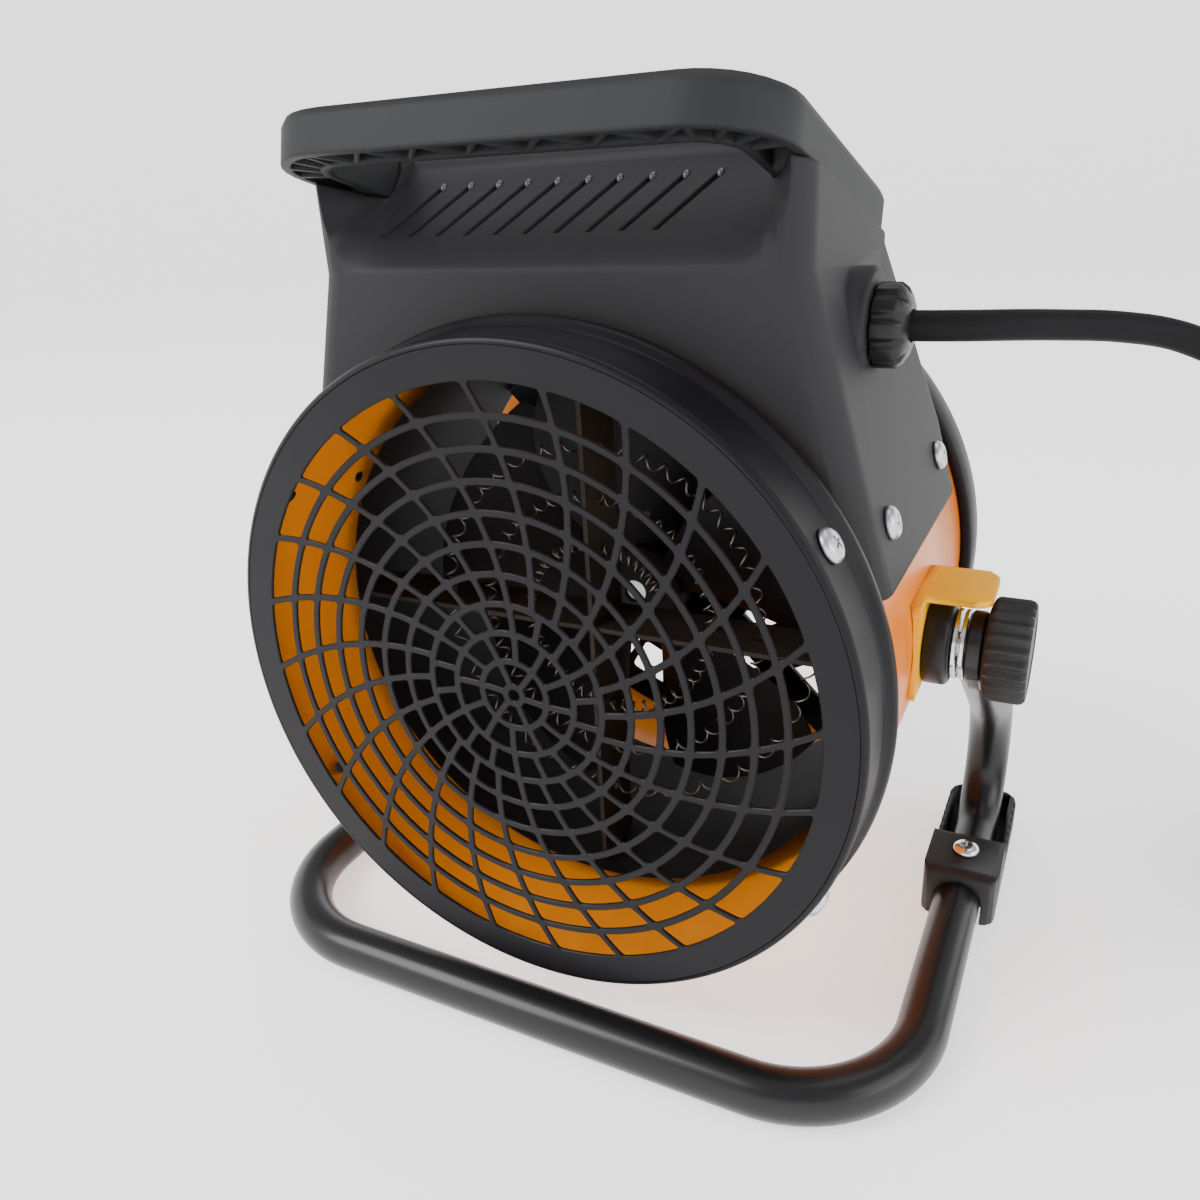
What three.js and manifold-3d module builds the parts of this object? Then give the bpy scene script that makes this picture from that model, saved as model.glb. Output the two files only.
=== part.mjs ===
// Forced air heater: a round steel drum with a spiral grille, a moulded housing and carrying handle
// above it, and a tubular stand that it tilts on. Millimetres, +X right, +Y to the back, +Z up.
// The origin lies on the floor, straight below the tilt axis.
import * as THREE from 'three';
import { mergeGeometries, mergeVertices } from 'three/addons/utils/BufferGeometryUtils.js';
import Module from 'manifold-3d';

const wasm = await Module();
wasm.setup();

const { PI, abs, asin, atan2, ceil, cos, floor, hypot, max, min, sign, sin, tan } = Math;
const rad = THREE.MathUtils.degToRad;
const V = (x, y, z) => new THREE.Vector3(x, y, z);

// ---------------------------------------------------------------- driving dimensions
const gap = 0.3;                  // clearance between pieces that touch
const clearance = 0.2;            // extra running clearance of a pin in its hole
const sides = 48;                 // facets round the drum

// drum, along Y, measured from the tilt axis, which is its own
const drumRadius = 101.6;
const drumWall = 1.0;
const drumFront = -78.5;
const drumBack = 90;

// back guard
const guardSheet = 1.2;
const guardStep = 2.6;            // air between the drum and the guard round it
const guardRadius = drumRadius + guardStep + guardSheet;
const guardLap = 17.6;            // how far it reaches over the drum
const guardFront = drumBack - guardLap;
const guardRoom = 4;
const guardBack = drumBack + guardRoom;
const guardHub = 18;
const guardSlotPitch = 19;
const guardBar = 3.2;
const guardBorder = 8;

const floorRoom = 15.2;           // air under the back guard
const axisHeight = floorRoom + guardRadius;

// front grille
const grilleSheet = 1.2;
const rimSheet = 0.9;
const grilleRadius = drumRadius + gap + clearance + rimSheet;
const grilleFace = drumFront - gap - grilleSheet;
const rimDepth = 23.2;
const beadRise = 2.6;
const beadWidth = 5;
const rimEdge = 1.6;              // rounding where the face turns into the rim
const webBorder = 11.5;           // plain sheet between the web and the rim
const webRadius = grilleRadius - webBorder;
const webBar = 2.1;               // width of every bar of the web
const webFirst = 10.9;            // middle of the innermost ring bar
const webPitch = 8.94;            // from one ring bar to the next
const webTwist = rad(0.337);      // how far the arms turn per millimetre of radius
const webPhase = rad(147.2);      // where one arm meets the border, clockwise from the top
const webArms = 24;
const webInnerRows = [            // cells in the rows round the middle, and the turn of their first arm
  [6, rad(40)], [12, rad(6.9)], [18, rad(3.5)],
];
const webEye = 1.8;               // small hole in the middle
const rimScrewAngles = [31, 149, 211, 329].map(rad);
const rimScrewSet = 10;           // from the face

// fan, heating element, heat shield and motor, along the drum's axis
const fanPlace = drumBack - 78;   // middle of the fan
const shieldAir = 6.6;
const shieldRadius = drumRadius - drumWall - shieldAir;
const shieldWall = 0.8;
const elementFront = fanPlace - 42;
const elementDepth = 22;
const shieldFront = elementFront - 5;
const shieldBack = fanPlace + 36;
const micaSheet = 1.6;
const coilWire = 4.6;             // outer size of the wound heating wire
const coilStart = 22;
const coilTurns = 3;
const coilPitch = 17;
const fanTipAir = 11.2;
const fanRadius = shieldRadius - shieldWall - fanTipAir;
const fanBlades = 5;
const fanHubRadius = 17;
const fanHubDepth = 16;
const bladeCamber = 2;
const shaftRadius = 4;
const motorRadius = 31;
const motorFront = fanPlace + 24;
const motorLength = 42;
const strutWidth = 11;
const strutSheet = 2;

// moulded housing
const housingFront = grilleFace + rimDepth + 4.8;   // front wall, behind the grille's bead
const housingShoulder = drumRadius + 13.4;          // height above the axis where the sides start to spread
const housingSpread = rad(15.5);  // lean of the sides
const skirtStep = 2.37;           // how far the skirts stand out from the drum
const housingHalf = (drumRadius + skirtStep - housingShoulder * sin(housingSpread)) / cos(housingSpread);
const housingFoot = 31;           // lower edge of the side skirts
const housingBackLean = rad(21);
const housingBackMost = guardFront - 2.4;
const cornerFront = 10;
const cornerBack = 14;
const housingWall = 2.6;
const panelSheet = 3.2;           // sloping front panel
const lipHeight = housingShoulder + 2.5;            // front lip under the handle
const ridge = housingFront + 33;  // front edge of the control panel
const ridgeHeight = housingShoulder + 27;
const housingBackTop = ridge + 66;                  // back wall at the shoulder
const lidTilt = rad(15);          // the handle and lid lean back by this much
const lidFront = housingFront - 23;                 // front face of the handle bar
const lidUnder = housingShoulder + 32.8;            // underside at that face
const lidThick = 12.6;
const lidHalf = housingHalf - 1.5;
const lidCorner = 24;
const lidBack = housingBackTop;
const lidDip = 7;                 // how deep the control panel lies in the lid
const barDepth = 12.5;            // handle bar from front to back
const armWidth = 13.5;
const skin = 2.6;
const ridgeDip = 3.8;             // how far the ridge before the panel lies below the lid's top
const panelHalf = lidHalf - 16.5;
const louvreCount = 10;
const louvreSpan = 2 * (lidHalf - armWidth - 16.5);
const louvreWidth = 2.2;
const louvreDepth = 1.2;
const louvreSlant = 12;           // sideways run of each louvre
const louvreTop = ridge - 5.5;
const louvreBottom = housingFront + 10;
const skirtScrewZ = housingFoot + 16;
const skirtScrewYs = [housingFront + 21.5, housingBackMost - 26.4];

// controls
const knobRadius = 18;
const knobHeight = 8.4;
const knobX = panelHalf - knobRadius - 8;
const knobY = ridge + 25;
const switchBody = 26;
const stemRadius = 3;

// pivots, along X from the middle plane
const bracketFace = drumRadius + 1.5;
const bracketSheet = 2;
const bracketHalf = 18;
const bracketBottom = -13;
const hoodReach = bracketFace + 18.4;
const hoodFront = -9;
const bushRadius = 13.5;
const bushLength = 7.6;
const washerRadius = 11;
const washerSheet = 1.6;
const washerSpace = 0.7;
const boltRadius = 4;
const eyeSheet = 4.6;
const clampRadius = 16;
const clampLength = 13;
const clampRibs = 24;
const bracketTop = clampRadius + bracketSheet;      // the hood clears the clamp knob

// stand
const tubeRadius = 8;
const standX = bracketFace + bushLength + 2 * washerSheet + washerSpace + 3 * gap + eyeSheet / 2;
const standFront = grilleFace - 8;                  // middle of the front bar
const standCorner = 43.6;         // bend radius of the front corners
const heelY = 88;                 // where the rising part of a leg stands furthest back
const heelRadius = 25;
const heelRise = 0.35;            // straight tube between the heel and the elbow
const armRadius = 40;
const eyeRadius = tubeRadius + 3;
const flatEnd = clampRadius + 10; // straight tube is pressed flat from here on
const footHalf = tubeRadius + 5;
const footFront = 20;
const footBack = heelY + tubeRadius;
const footTop = 2 * tubeRadius + 3.5;
const footSaddle = 46;            // where the closed front half of a foot ends
const footRail = 11;
const footFloor = 1.6;
const footRibs = 7;
const footScrewY = 36;

// screws
const headRadius = 4.8;
const headHeight = 2.6;
const screwRadius = 2;
const screwLength = 6;

// cable gland
const cordRadius = 4.2;
const glandY = housingFront + 44;
const glandZ = housingShoulder - 18.5;
const glandHoleRadius = cordRadius + 2.2;
const glandNutRadius = glandHoleRadius + 5.2;
const glandNutLength = 10;
const glandFlange = glandNutRadius + 3.4;
const glandBossRise = 2.5;
const glandNutGrooves = 10;

// mains lead, the coil that it ends in on the floor, and the plug
const cordLength = 1500;
const coilCentre = [253, 88];
const coilMiddle = 42.5;          // radius at the middle of the turns
const coilStep = 9.2;             // from one turn to the next, and from one layer to the next
const coilSpread = 2.25;          // turns before the spiral reverses
const coilSteps = 24;             // of the tube in each turn
const plugRadius = 12.6;
const plugLength = 48;
const pinRadius = 2.4;
const pinSpread = 19;
const pinLength = 19;

// ---------------------------------------------------------------- materials
const material = (color, roughness, metalness = 0) =>
  new THREE.MeshStandardMaterial({ color, roughness, metalness });
const blackPaint = material(0x1d1d20, 0.42, 0.3);
const orangePaint = material(0xf08a1c, 0.35, 0.2);
const amberPaint = material(0xffb41e, 0.4, 0.2);
const blackPlastic = material(0x26262a, 0.6);
const softBlack = material(0x17171a, 0.7);
const chrome = material(0xd4d6da, 0.18, 1);
const zinc = material(0xa9acb0, 0.4, 0.9);
const steelGrey = material(0x5f6266, 0.5, 0.8);
const mica = material(0xc9b894, 0.6);
const brass = material(0xc8a24a, 0.3, 0.9);
const cordRubber = material(0x141416, 0.55);

// ---------------------------------------------------------------- solids
const toSolid = (geometry) => {
  const bare = geometry.index ? geometry.toNonIndexed() : geometry.clone();
  bare.deleteAttribute('normal');
  bare.deleteAttribute('uv');
  const merged = mergeVertices(bare, 1e-4);
  const corners = merged.index.array;
  const faces = [];
  for (let i = 0; i < corners.length; i += 3) {
    const [a, b, c] = corners.slice(i, i + 3);
    if (a !== b && b !== c && c !== a) faces.push(a, b, c);   // a fan at the axis leaves empty faces
  }
  return new wasm.Manifold(new wasm.Mesh({
    numProp: 3,
    vertProperties: merged.attributes.position.array,
    triVerts: new Uint32Array(faces),
  }));
};

const toGeometry = (solid) => {
  const mesh = solid.getMesh();
  const geometry = new THREE.BufferGeometry();
  geometry.setAttribute('position', new THREE.BufferAttribute(mesh.vertProperties, 3));
  geometry.setIndex(new THREE.BufferAttribute(mesh.triVerts, 1));
  return geometry;
};

const join = (...geometries) => geometries.map(toSolid).reduce((a, b) => a.add(b));
const cut = (geometry, ...tools) => tools.map(toSolid).reduce((a, b) => a.subtract(b), toSolid(geometry));
const place = (geometry, x = 0, y = 0, z = 0) => geometry.translate(x, y, z);

const block = (x0, x1, y0, y1, z0, z1) =>
  place(new THREE.BoxGeometry(x1 - x0, y1 - y0, z1 - z0), (x0 + x1) / 2, (y0 + y1) / 2, (z0 + z1) / 2);

// a turned body about Y from a closed outline of [radius, y]; a point at radius 0 lies on the axis
const turned = (outline, segments = sides) => {
  const points = [...outline, outline[0]].map(([r, y]) => new THREE.Vector2(r, y));
  return new THREE.LatheGeometry(points, segments);
};
const solidDisc = (radius, y0, y1, segments = sides) => place(
  new THREE.CylinderGeometry(radius, radius, y1 - y0, segments), 0, (y0 + y1) / 2, 0);
const ring = (inner, outer, y0, y1, segments = sides) =>
  turned([[inner, y0], [outer, y0], [outer, y1], [inner, y1]], segments);
const aboutX = (geometry) => geometry.rotateZ(-PI / 2);    // what was turned about Y now lies along X

// a flat outline in X and Z, given depth along Y from y0 to y1
const upright = (shape, y0, y1, curveSegments = 8) => place(
  new THREE.ExtrudeGeometry(shape, { depth: y1 - y0, bevelEnabled: false, curveSegments })
    .rotateX(PI / 2), 0, y1, 0);
// a flat outline in Y and Z, given width along X from x0 to x1
const sideways = (shape, x0, x1, curveSegments = 8) => place(
  new THREE.ExtrudeGeometry(shape, { depth: x1 - x0, bevelEnabled: false, curveSegments })
    .rotateY(PI / 2).rotateX(PI / 2), x0, 0, 0);
// a flat outline in X and Y, given height along Z from z0 to z1
const flat = (shape, z0, z1, curveSegments = 8) => place(
  new THREE.ExtrudeGeometry(shape, { depth: z1 - z0, bevelEnabled: false, curveSegments }), 0, 0, z0);

const polygon = (points) => new THREE.Shape(points.map(([u, v]) => new THREE.Vector2(u, v)));

// points round a rectangle with rounded corners; the first two corners (low v) have radius low
const roundedOutline = (u0, u1, v0, v1, low, high = low, steps = 5) => {
  const corners = [[u0 + low, v0 + low, low, PI], [u1 - low, v0 + low, low, 1.5 * PI],
    [u1 - high, v1 - high, high, 0], [u0 + high, v1 - high, high, 0.5 * PI]];
  return corners.flatMap(([u, v, r, start]) => Array.from({ length: steps + 1 }, (_, i) => {
    const a = start + (i / steps) * PI / 2;
    return [u + r * cos(a), v + r * sin(a)];
  }));
};

// a closed skin over rings of points that all have the same count
const loft = (rings) => {
  const count = rings[0].length;
  const middle = (points) => points.reduce((s, p) => s.add(p), V(0, 0, 0)).divideScalar(count);
  const vertices = [...rings.flat(), middle(rings[0]), middle(rings[rings.length - 1])];
  const first = rings.length * count;
  const faces = [];
  for (let k = 0; k < count; k += 1) {
    const next = (k + 1) % count;
    for (let r = 0; r + 1 < rings.length; r += 1) {
      const a = r * count;
      const b = a + count;
      faces.push(a + k, a + next, b + next, a + k, b + next, b + k);
    }
    const last = (rings.length - 1) * count;
    faces.push(first, next, k, first + 1, last + k, last + next);
  }
  const geometry = new THREE.BufferGeometry().setFromPoints(vertices);
  geometry.setIndex(faces);
  return geometry;
};

// a round bar swept along a curve
const swept = (curve, radius, steps, facets) => {
  const section = new THREE.Shape(Array.from({ length: facets }, (_, i) => {
    const a = ((i + 0.5) / facets) * 2 * PI;
    return new THREE.Vector2(radius * cos(a), radius * sin(a));
  }));
  return new THREE.ExtrudeGeometry(section, { steps, bevelEnabled: false, extrudePath: curve });
};

// ---------------------------------------------------------------- the assembly
const heaterGroup = new THREE.Group();
heaterGroup.position.z = axisHeight;
const standGroup = new THREE.Group();
const model = new THREE.Group();
model.add(heaterGroup, standGroup);

const piece = (group, name, shape, finish) => {
  const geometry = shape.isBufferGeometry ? shape : toGeometry(shape);
  const mesh = new THREE.Mesh(geometry, finish);
  mesh.name = name;
  group.add(mesh);
  return mesh;
};

// ---------------------------------------------------------------- front grille
// One pressed sheet: a flat border, a web of curved arms and rings, and a rim that turns back
// round the drum and ends in a raised bead.
const webCell = (inner, outer, start, span) => {
  const along = (r) => start - webTwist * r;
  const arc = (r, a0, a1, n) => Array.from({ length: n + 1 }, (_, i) => {
    const a = a0 + (a1 - a0) * (i / n);
    return new THREE.Vector2(r * sin(a), r * cos(a));
  });
  const half = (r) => webBar / 2 / r;
  const parts = max(1, ceil(span / rad(21)));
  return [
    ...arc(outer, along(outer) + half(outer), along(outer) + span - half(outer), parts),
    ...arc(inner, along(inner) + span - half(inner), along(inner) + half(inner), parts),
  ];
};

const webRows = Array.from({ length: floor((webRadius - webFirst) / webPitch) + 1 },
  (_, row) => webInnerRows[row] ?? [webArms]);
const webHoles = webRows.flatMap(([count, turn], row) => {
  const barAt = (k) => webFirst + k * webPitch;
  const inner = row === 0 ? webEye + webBar : barAt(row - 1) + webBar / 2;
  const outer = row === webRows.length - 1 ? webRadius : barAt(row) - webBar / 2;
  const span = 2 * PI / count;
  const first = turn === undefined
    ? webPhase + webTwist * (webRadius - webPitch / 2)
    : turn + webTwist * (inner + outer) / 2;
  return Array.from({ length: count }, (_, i) => webCell(inner, outer, first + i * span, span));
});

const eyeHole = Array.from({ length: 8 }, (_, i) =>
  new THREE.Vector2(webEye * cos(i * PI / 4), webEye * sin(i * PI / 4)));
const prisms = (outlines, y0, y1) => mergeGeometries(outlines.map((points) =>
  upright(new THREE.Shape(points), y0, y1)));

const rimInner = grilleRadius - rimSheet;
const rimBack = grilleFace + rimDepth;
const beadStart = rimBack - beadWidth;
const turnedEdge = Array.from({ length: 3 }, (_, i) => [
  grilleRadius - rimEdge * (1 - sin(i * PI / 4)), grilleFace + rimEdge * (1 - cos(i * PI / 4))]);
const rimOutline = [
  [webRadius, grilleFace],
  ...turnedEdge,
  [grilleRadius, beadStart],
  [grilleRadius + beadRise, beadStart + beadRise * 0.6],
  [grilleRadius + beadRise, rimBack],
  [rimInner + beadRise, rimBack],
  [rimInner + beadRise, beadStart + beadRise * 0.6 + rimSheet / 2],
  [rimInner, beadStart + rimSheet / 2],
  [rimInner, grilleFace + grilleSheet],
  [webRadius, grilleFace + grilleSheet],
];
const grilleSolid = toSolid(solidDisc(webRadius + 1.5, grilleFace, grilleFace + grilleSheet))
  .add(toSolid(turned(rimOutline)))
  .subtract(toSolid(prisms([...webHoles, eyeHole], grilleFace - 5, grilleFace + 5)));

// ---------------------------------------------------------------- screws through the rim and drum
// A pan head screw about Y; its head rests on y = 0.
const screw = (radius = headRadius, length = screwLength) => {
  const outline = [[0, -length], [screwRadius, -length], [screwRadius, 0], [radius, 0],
    [radius * 0.8, headHeight * 0.65], [0, headHeight]];
  return turned(outline, 10);
};
const screwHole = (depth = 20) => new THREE.CylinderGeometry(
  screwRadius + clearance, screwRadius + clearance, depth, 8);
// turns a body made about Y so that it points out of the drum's axis at a given angle in X and Z
const pointOut = (shape, angle, radius, y) => (shape.isBufferGeometry ? shape : toGeometry(shape))
  .translate(0, radius, 0).rotateX(PI / 2).rotateY(PI / 2 - angle).translate(0, y, 0);

const rimScrewY = grilleFace + rimScrewSet;

// ---------------------------------------------------------------- housing and lid outlines
const sideAt = (z) => housingHalf + max(0, housingShoulder - z) * tan(housingSpread);
const backAt = (z) => min(housingBackMost,
  housingBackTop + max(0, housingShoulder - z) * tan(housingBackLean));
const section = (z, inset) => {
  const half = sideAt(z) - inset;
  return roundedOutline(-half, half, housingFront + inset, backAt(z) - inset,
    cornerFront - inset * 0.6, cornerBack - inset * 0.6).map(([x, y]) => V(x, y, z));
};
const tower = (z0, z1, inset) => {
  const knee = housingShoulder - (housingBackMost - housingBackTop) / tan(housingBackLean);
  const heights = [z0, knee, housingShoulder, z1].filter((z) => z >= z0 && z <= z1);
  return loft(heights.map((z) => section(z, inset)));
};

const above = lidUnder + 50;      // clear of everything below

// the lid's own frame: its underside plane rises to the front by lidTilt
const lidPlace = (geometry) => geometry.rotateX(-lidTilt).translate(0, lidFront, lidUnder);
const lidSlab = (outline, low, high) => lidPlace(flat(polygon(outline), low, high));
const lidLength = (lidBack - lidFront) / cos(lidTilt);
const lidRidge = (ridge - lidFront) / cos(lidTilt);
const bigSlab = (low, high) => lidSlab(
  [[-150, -60], [150, -60], [150, lidLength + 90], [-150, lidLength + 90]], low, high);

// the open mouth between the front lip and the control panel
const slope = (y) => lipHeight + (y - housingFront) * (ridgeHeight - lipHeight) / (ridge - housingFront);
const mouthRing = (y, half, low, high, corner) =>
  roundedOutline(-half, half, low, high, corner, 4).map(([x, z]) => V(x, y, z));
const mouth = () => loft([
  mouthRing(ridge, lidHalf - armWidth - 2, slope(ridge), above, 5),
  mouthRing(housingFront + 8, sideAt(lipHeight) - 8, slope(housingFront + 8), above, 14),
  mouthRing(housingFront - 6, sideAt(lipHeight) - 1, slope(housingFront - 6), above, 22),
]);

// the hand opening of the lid, in the lid's frame
const opening = (grow) => roundedOutline(-(lidHalf - armWidth) - grow, lidHalf - armWidth + grow,
  barDepth - grow, lidRidge + grow, lidCorner - barDepth + grow, 6 + grow, 6);

const drumCore = () => solidDisc(drumRadius + gap, drumFront - 40, drumBack + 40);

// ---------------------------------------------------------------- top housing
const louvreSlots = Array.from({ length: louvreCount }, (_, i) => {
  const x = -louvreSpan / 2 + i * louvreSpan / (louvreCount - 1);
  const run = louvreTop - louvreBottom;
  const rise = slope(louvreTop) - slope(louvreBottom);
  const from = V(x, louvreTop, slope(louvreTop));
  const across = V(louvreWidth / 2, 0, 0);
  const out = V(0, -rise, run).normalize().multiplyScalar(louvreDepth);
  const to = from.clone().add(V(-louvreSlant, -run, -rise));
  const ringAt = (p, w) => [p.clone().sub(across.clone().multiplyScalar(w)).sub(out),
    p.clone().add(across.clone().multiplyScalar(w)).sub(out),
    p.clone().add(across.clone().multiplyScalar(w)).add(out),
    p.clone().sub(across.clone().multiplyScalar(w)).add(out)];
  return loft([ringAt(from, 1), ringAt(to, 0.8)]);
});

// the cavity stays below the sloping front panel and is closed above by the lid
const cavity = () => toSolid(tower(housingFoot - 10, above, housingWall))
  .intersect(toSolid(bigSlab(-80, lidThick - 5)))
  .subtract(toSolid(loft([
    mouthRing(ridge + 3, lidHalf - armWidth + 1.5, slope(ridge) - panelSheet, above + 10, 5),
    mouthRing(housingFront + 8, sideAt(lipHeight) - 4.5, slope(housingFront + 8) - panelSheet,
      above + 10, 14),
    mouthRing(housingFront - 9, sideAt(lipHeight) + 3, slope(housingFront - 9) - panelSheet, above + 10, 22),
  ])));

const glandAt = (geometry, x) => aboutX(geometry).translate(x, glandY, glandZ);
const glandFace = sideAt(glandZ) + glandBossRise;
const glandBoss = glandAt(turned([[0, -14], [glandFlange + 1, -14], [glandFlange + 1, -1.2],
  [glandFlange - 0.2, 0], [0, 0]], 32), glandFace);

const housingSolid = (() => {
  let solid = toSolid(tower(housingFoot, above, 0));
  solid = solid.intersect(toSolid(bigSlab(-120, -gap)).add(toSolid(lidSlab(opening(-gap), -20, lidThick))));
  solid = solid.add(toSolid(glandBoss).subtract(toSolid(tower(housingFoot, above, 1))));
  solid = solid.subtract(toSolid(mouth())).subtract(toSolid(drumCore()));
  solid = solid.subtract(cavity());
  return solid;
})();

// ---------------------------------------------------------------- lid and handle
// One moulding: a loop round the hand opening whose bar and arms are ribbed channels, open below,
// and behind it the lid of the housing with the sunken control panel.
const lidOutline = (inset) => roundedOutline(-lidHalf + inset, lidHalf - inset, inset, lidLength - inset,
  lidCorner - inset, cornerBack - inset * 0.5, 8);
const lidRing = (z, inset) => lidOutline(inset).map(([x, y]) => V(x, y, z));
const lidBody = () => loft([lidRing(0, 0), lidRing(lidThick - 3, 0), lidRing(lidThick - 0.9, 0.9),
  lidRing(lidThick, 3)]);
const lidProfile = (below, above) => {
  const fall = Array.from({ length: 7 }, (_, i) => {
    const a = (i / 6) * PI / 2;
    return [lidLength + 0.1 - 32 * (1 - sin(a)), above - 9.5 * (1 - cos(a))];
  });
  return [[-1, below], [lidLength + 0.1, below], ...fall.reverse(), [-1, above]];
};
const lidRibs = () => {
  const reach = lidHalf - armWidth;
  const zigzag = Array.from({ length: 12 }, (_, i) => {
    const x = -reach + 12 + i * (2 * reach - 24) / 11;
    const lean = i % 2 ? 0.7 : -0.7;
    return place(new THREE.BoxGeometry(1.4, barDepth + 4, lidThick - 3).rotateZ(lean), x, barDepth / 2,
      (lidThick - 3) / 2);
  });
  const corner = [1, -1].flatMap((side) => [0.2, 0.6, 1.0, 1.4].map((a) =>
    place(new THREE.BoxGeometry(30, 1.4, lidThick - 3).translate(lidCorner - 6, 0, 0)
      .rotateZ(side > 0 ? -a : PI + a), side * (lidHalf - lidCorner), lidCorner, (lidThick - 3) / 2)));
  return [...zigzag, ...corner].map(toSolid).reduce((a, b) => a.add(b));
};

const pocketEnd = lidCorner + 12;
const loopPocket = () => {
  const outer = toSolid(flat(polygon(lidOutline(skin)), -5, lidThick - skin));
  const front = toSolid(block(-100, 100, -5, pocketEnd, -10, 20));
  return outer.intersect(front).subtract(toSolid(flat(polygon(opening(skin)), -20, 40)));
};
const panelFront = lidRidge + 2.2;
const panelBack = lidLength - 18;
const lidPanel = () => flat(polygon(roundedOutline(-panelHalf, panelHalf, panelFront, panelBack, 6)),
  lidThick - lidDip, lidThick + 10);
const lidHollow = () => flat(polygon(roundedOutline(-lidHalf + 9, lidHalf - 9, lidRidge + skin,
  lidLength - 12, 6)), -5, lidThick - lidDip - skin);
const lidY = (y) => (y - lidFront) / cos(lidTilt);
const upLid = (geometry, x, y, z) => geometry.rotateX(PI / 2).translate(x, y, z);   // stands on the lid
const stemPlaces = [-knobX, knobX];

const lidSolid = (() => {
  let solid = toSolid(lidBody()).intersect(toSolid(sideways(polygon(lidProfile(-1, lidThick)), -100, 100)));
  solid = solid.subtract(toSolid(flat(polygon(opening(0)), -20, 40)));
  solid = solid.subtract(loopPocket().subtract(lidRibs()));
  solid = solid.subtract(toSolid(lidPanel())).subtract(toSolid(lidHollow()));
  solid = solid.subtract(toSolid(block(-panelHalf, panelHalf, lidRidge - 1, panelFront + 8,
    lidThick - ridgeDip, 30)));
  stemPlaces.forEach((x) => {
    const hole = new THREE.CylinderGeometry(stemRadius + gap, stemRadius + gap, 40, 16);
    solid = solid.subtract(toSolid(upLid(hole, x, lidY(knobY), 5)));
  });
  return solid;
})();

// ---------------------------------------------------------------- pieces of the heater
const grille = rimScrewAngles.reduce((solid, angle) =>
  solid.subtract(toSolid(pointOut(screwHole(), angle, grilleRadius, rimScrewY))), grilleSolid);
piece(heaterGroup, 'front_grille', grille, blackPaint);

// skirt screws stand square on the leaning side walls
const skirtSpots = [1, -1].flatMap((side) => skirtScrewYs.map((y) => ({ side, y })));
const onSide = (shape, { side, y }, out = 0) => {
  const geometry = shape.isBufferGeometry ? shape : toGeometry(shape);
  const angle = side > 0 ? housingSpread : PI - housingSpread;
  const x = side * (sideAt(skirtScrewZ) + out * cos(housingSpread));
  return geometry.rotateX(PI / 2).rotateY(PI / 2 - angle)
    .translate(x, y, skirtScrewZ + out * sin(housingSpread));
};
const drill = (solid, tools) => tools.map(toSolid).reduce((a, b) => a.subtract(b), solid);
const rimDrills = () => rimScrewAngles.map((angle) => pointOut(screwHole(), angle, drumRadius, rimScrewY));
const skirtDrills = () => skirtSpots.map((spot) => onSide(screwHole(), spot));

const drumTube = toSolid(ring(drumRadius - drumWall, drumRadius, drumFront, drumBack));
piece(heaterGroup, 'drum_shell', drill(drumTube, [...rimDrills(), ...skirtDrills()]), orangePaint);

const glandDrill = glandAt(solidDisc(glandHoleRadius, -30, 30, 20), glandFace);
const nutSeat = glandAt(solidDisc(glandNutRadius + clearance, 0, 20, 32), glandFace);
const housingDrills = [...louvreSlots, ...skirtDrills(), glandDrill, nutSeat];
piece(heaterGroup, 'top_housing', drill(housingSolid, housingDrills), blackPlastic);
piece(heaterGroup, 'handle_lid', lidPlace(toGeometry(lidSolid)), blackPlastic);

rimScrewAngles.forEach((angle, i) => {
  piece(heaterGroup, `rim_screw_${i + 1}`, pointOut(screw(), angle, grilleRadius + gap, rimScrewY), zinc);
});
skirtSpots.forEach((spot, i) => {
  piece(heaterGroup, `skirt_screw_${i + 1}`, onSide(screw(), spot, gap), zinc);
});

// ---------------------------------------------------------------- back guard
// A pressed cup over the back of the drum, with rows of curved air slots.
const guardSlotRows = floor((guardRadius - guardBorder - guardHub + guardBar) / guardSlotPitch);
const guardSlots = Array.from({ length: guardSlotRows }, (_, row) => {
  const inner = guardHub + row * guardSlotPitch;
  const outer = inner + guardSlotPitch - guardBar;
  const count = 6 + row * 3;
  const arc = (r, a, b) => [0, 0.5, 1].map((t) =>
    new THREE.Vector2(r * cos(a + (b - a) * t), r * sin(a + (b - a) * t)));
  return Array.from({ length: count }, (__, i) => {
    const start = (i / count) * 2 * PI;
    const end = start + 2 * PI / count - guardBar / inner;
    return [...arc(outer, start, end), ...arc(inner, end, start)];
  });
}).flat();
const guardInner = guardRadius - guardSheet;
const guardOutline = [[drumRadius + gap, guardFront], [guardRadius, guardFront], [guardRadius, guardBack - 3],
  [guardRadius - 3, guardBack], [guardRadius - guardBorder, guardBack],
  [guardRadius - guardBorder, guardBack - guardSheet],
  [guardInner - 2, guardBack - guardSheet], [guardInner, guardFront + guardSheet],
  [drumRadius + gap, guardFront + guardSheet]];
piece(heaterGroup, 'back_guard', toSolid(turned(guardOutline))
  .add(toSolid(solidDisc(guardRadius - 5, guardBack - guardSheet, guardBack)))
  .subtract(toSolid(prisms(guardSlots, guardBack - 5, guardBack + 5))), blackPaint);

// ---------------------------------------------------------------- heat shield, element, fan and motor
// The shield is a dark inner cylinder; its flared back edge is fixed to the drum.
const shieldFlare = drumRadius - drumWall - gap;
const shieldBore = shieldRadius - shieldWall;
piece(heaterGroup, 'heat_shield', turned([[shieldBore, shieldFront], [shieldRadius, shieldFront],
  [shieldRadius, shieldBack - shieldWall], [shieldFlare, shieldBack - shieldWall],
  [shieldFlare, shieldBack], [shieldBore, shieldBack]]), softBlack);

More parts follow.
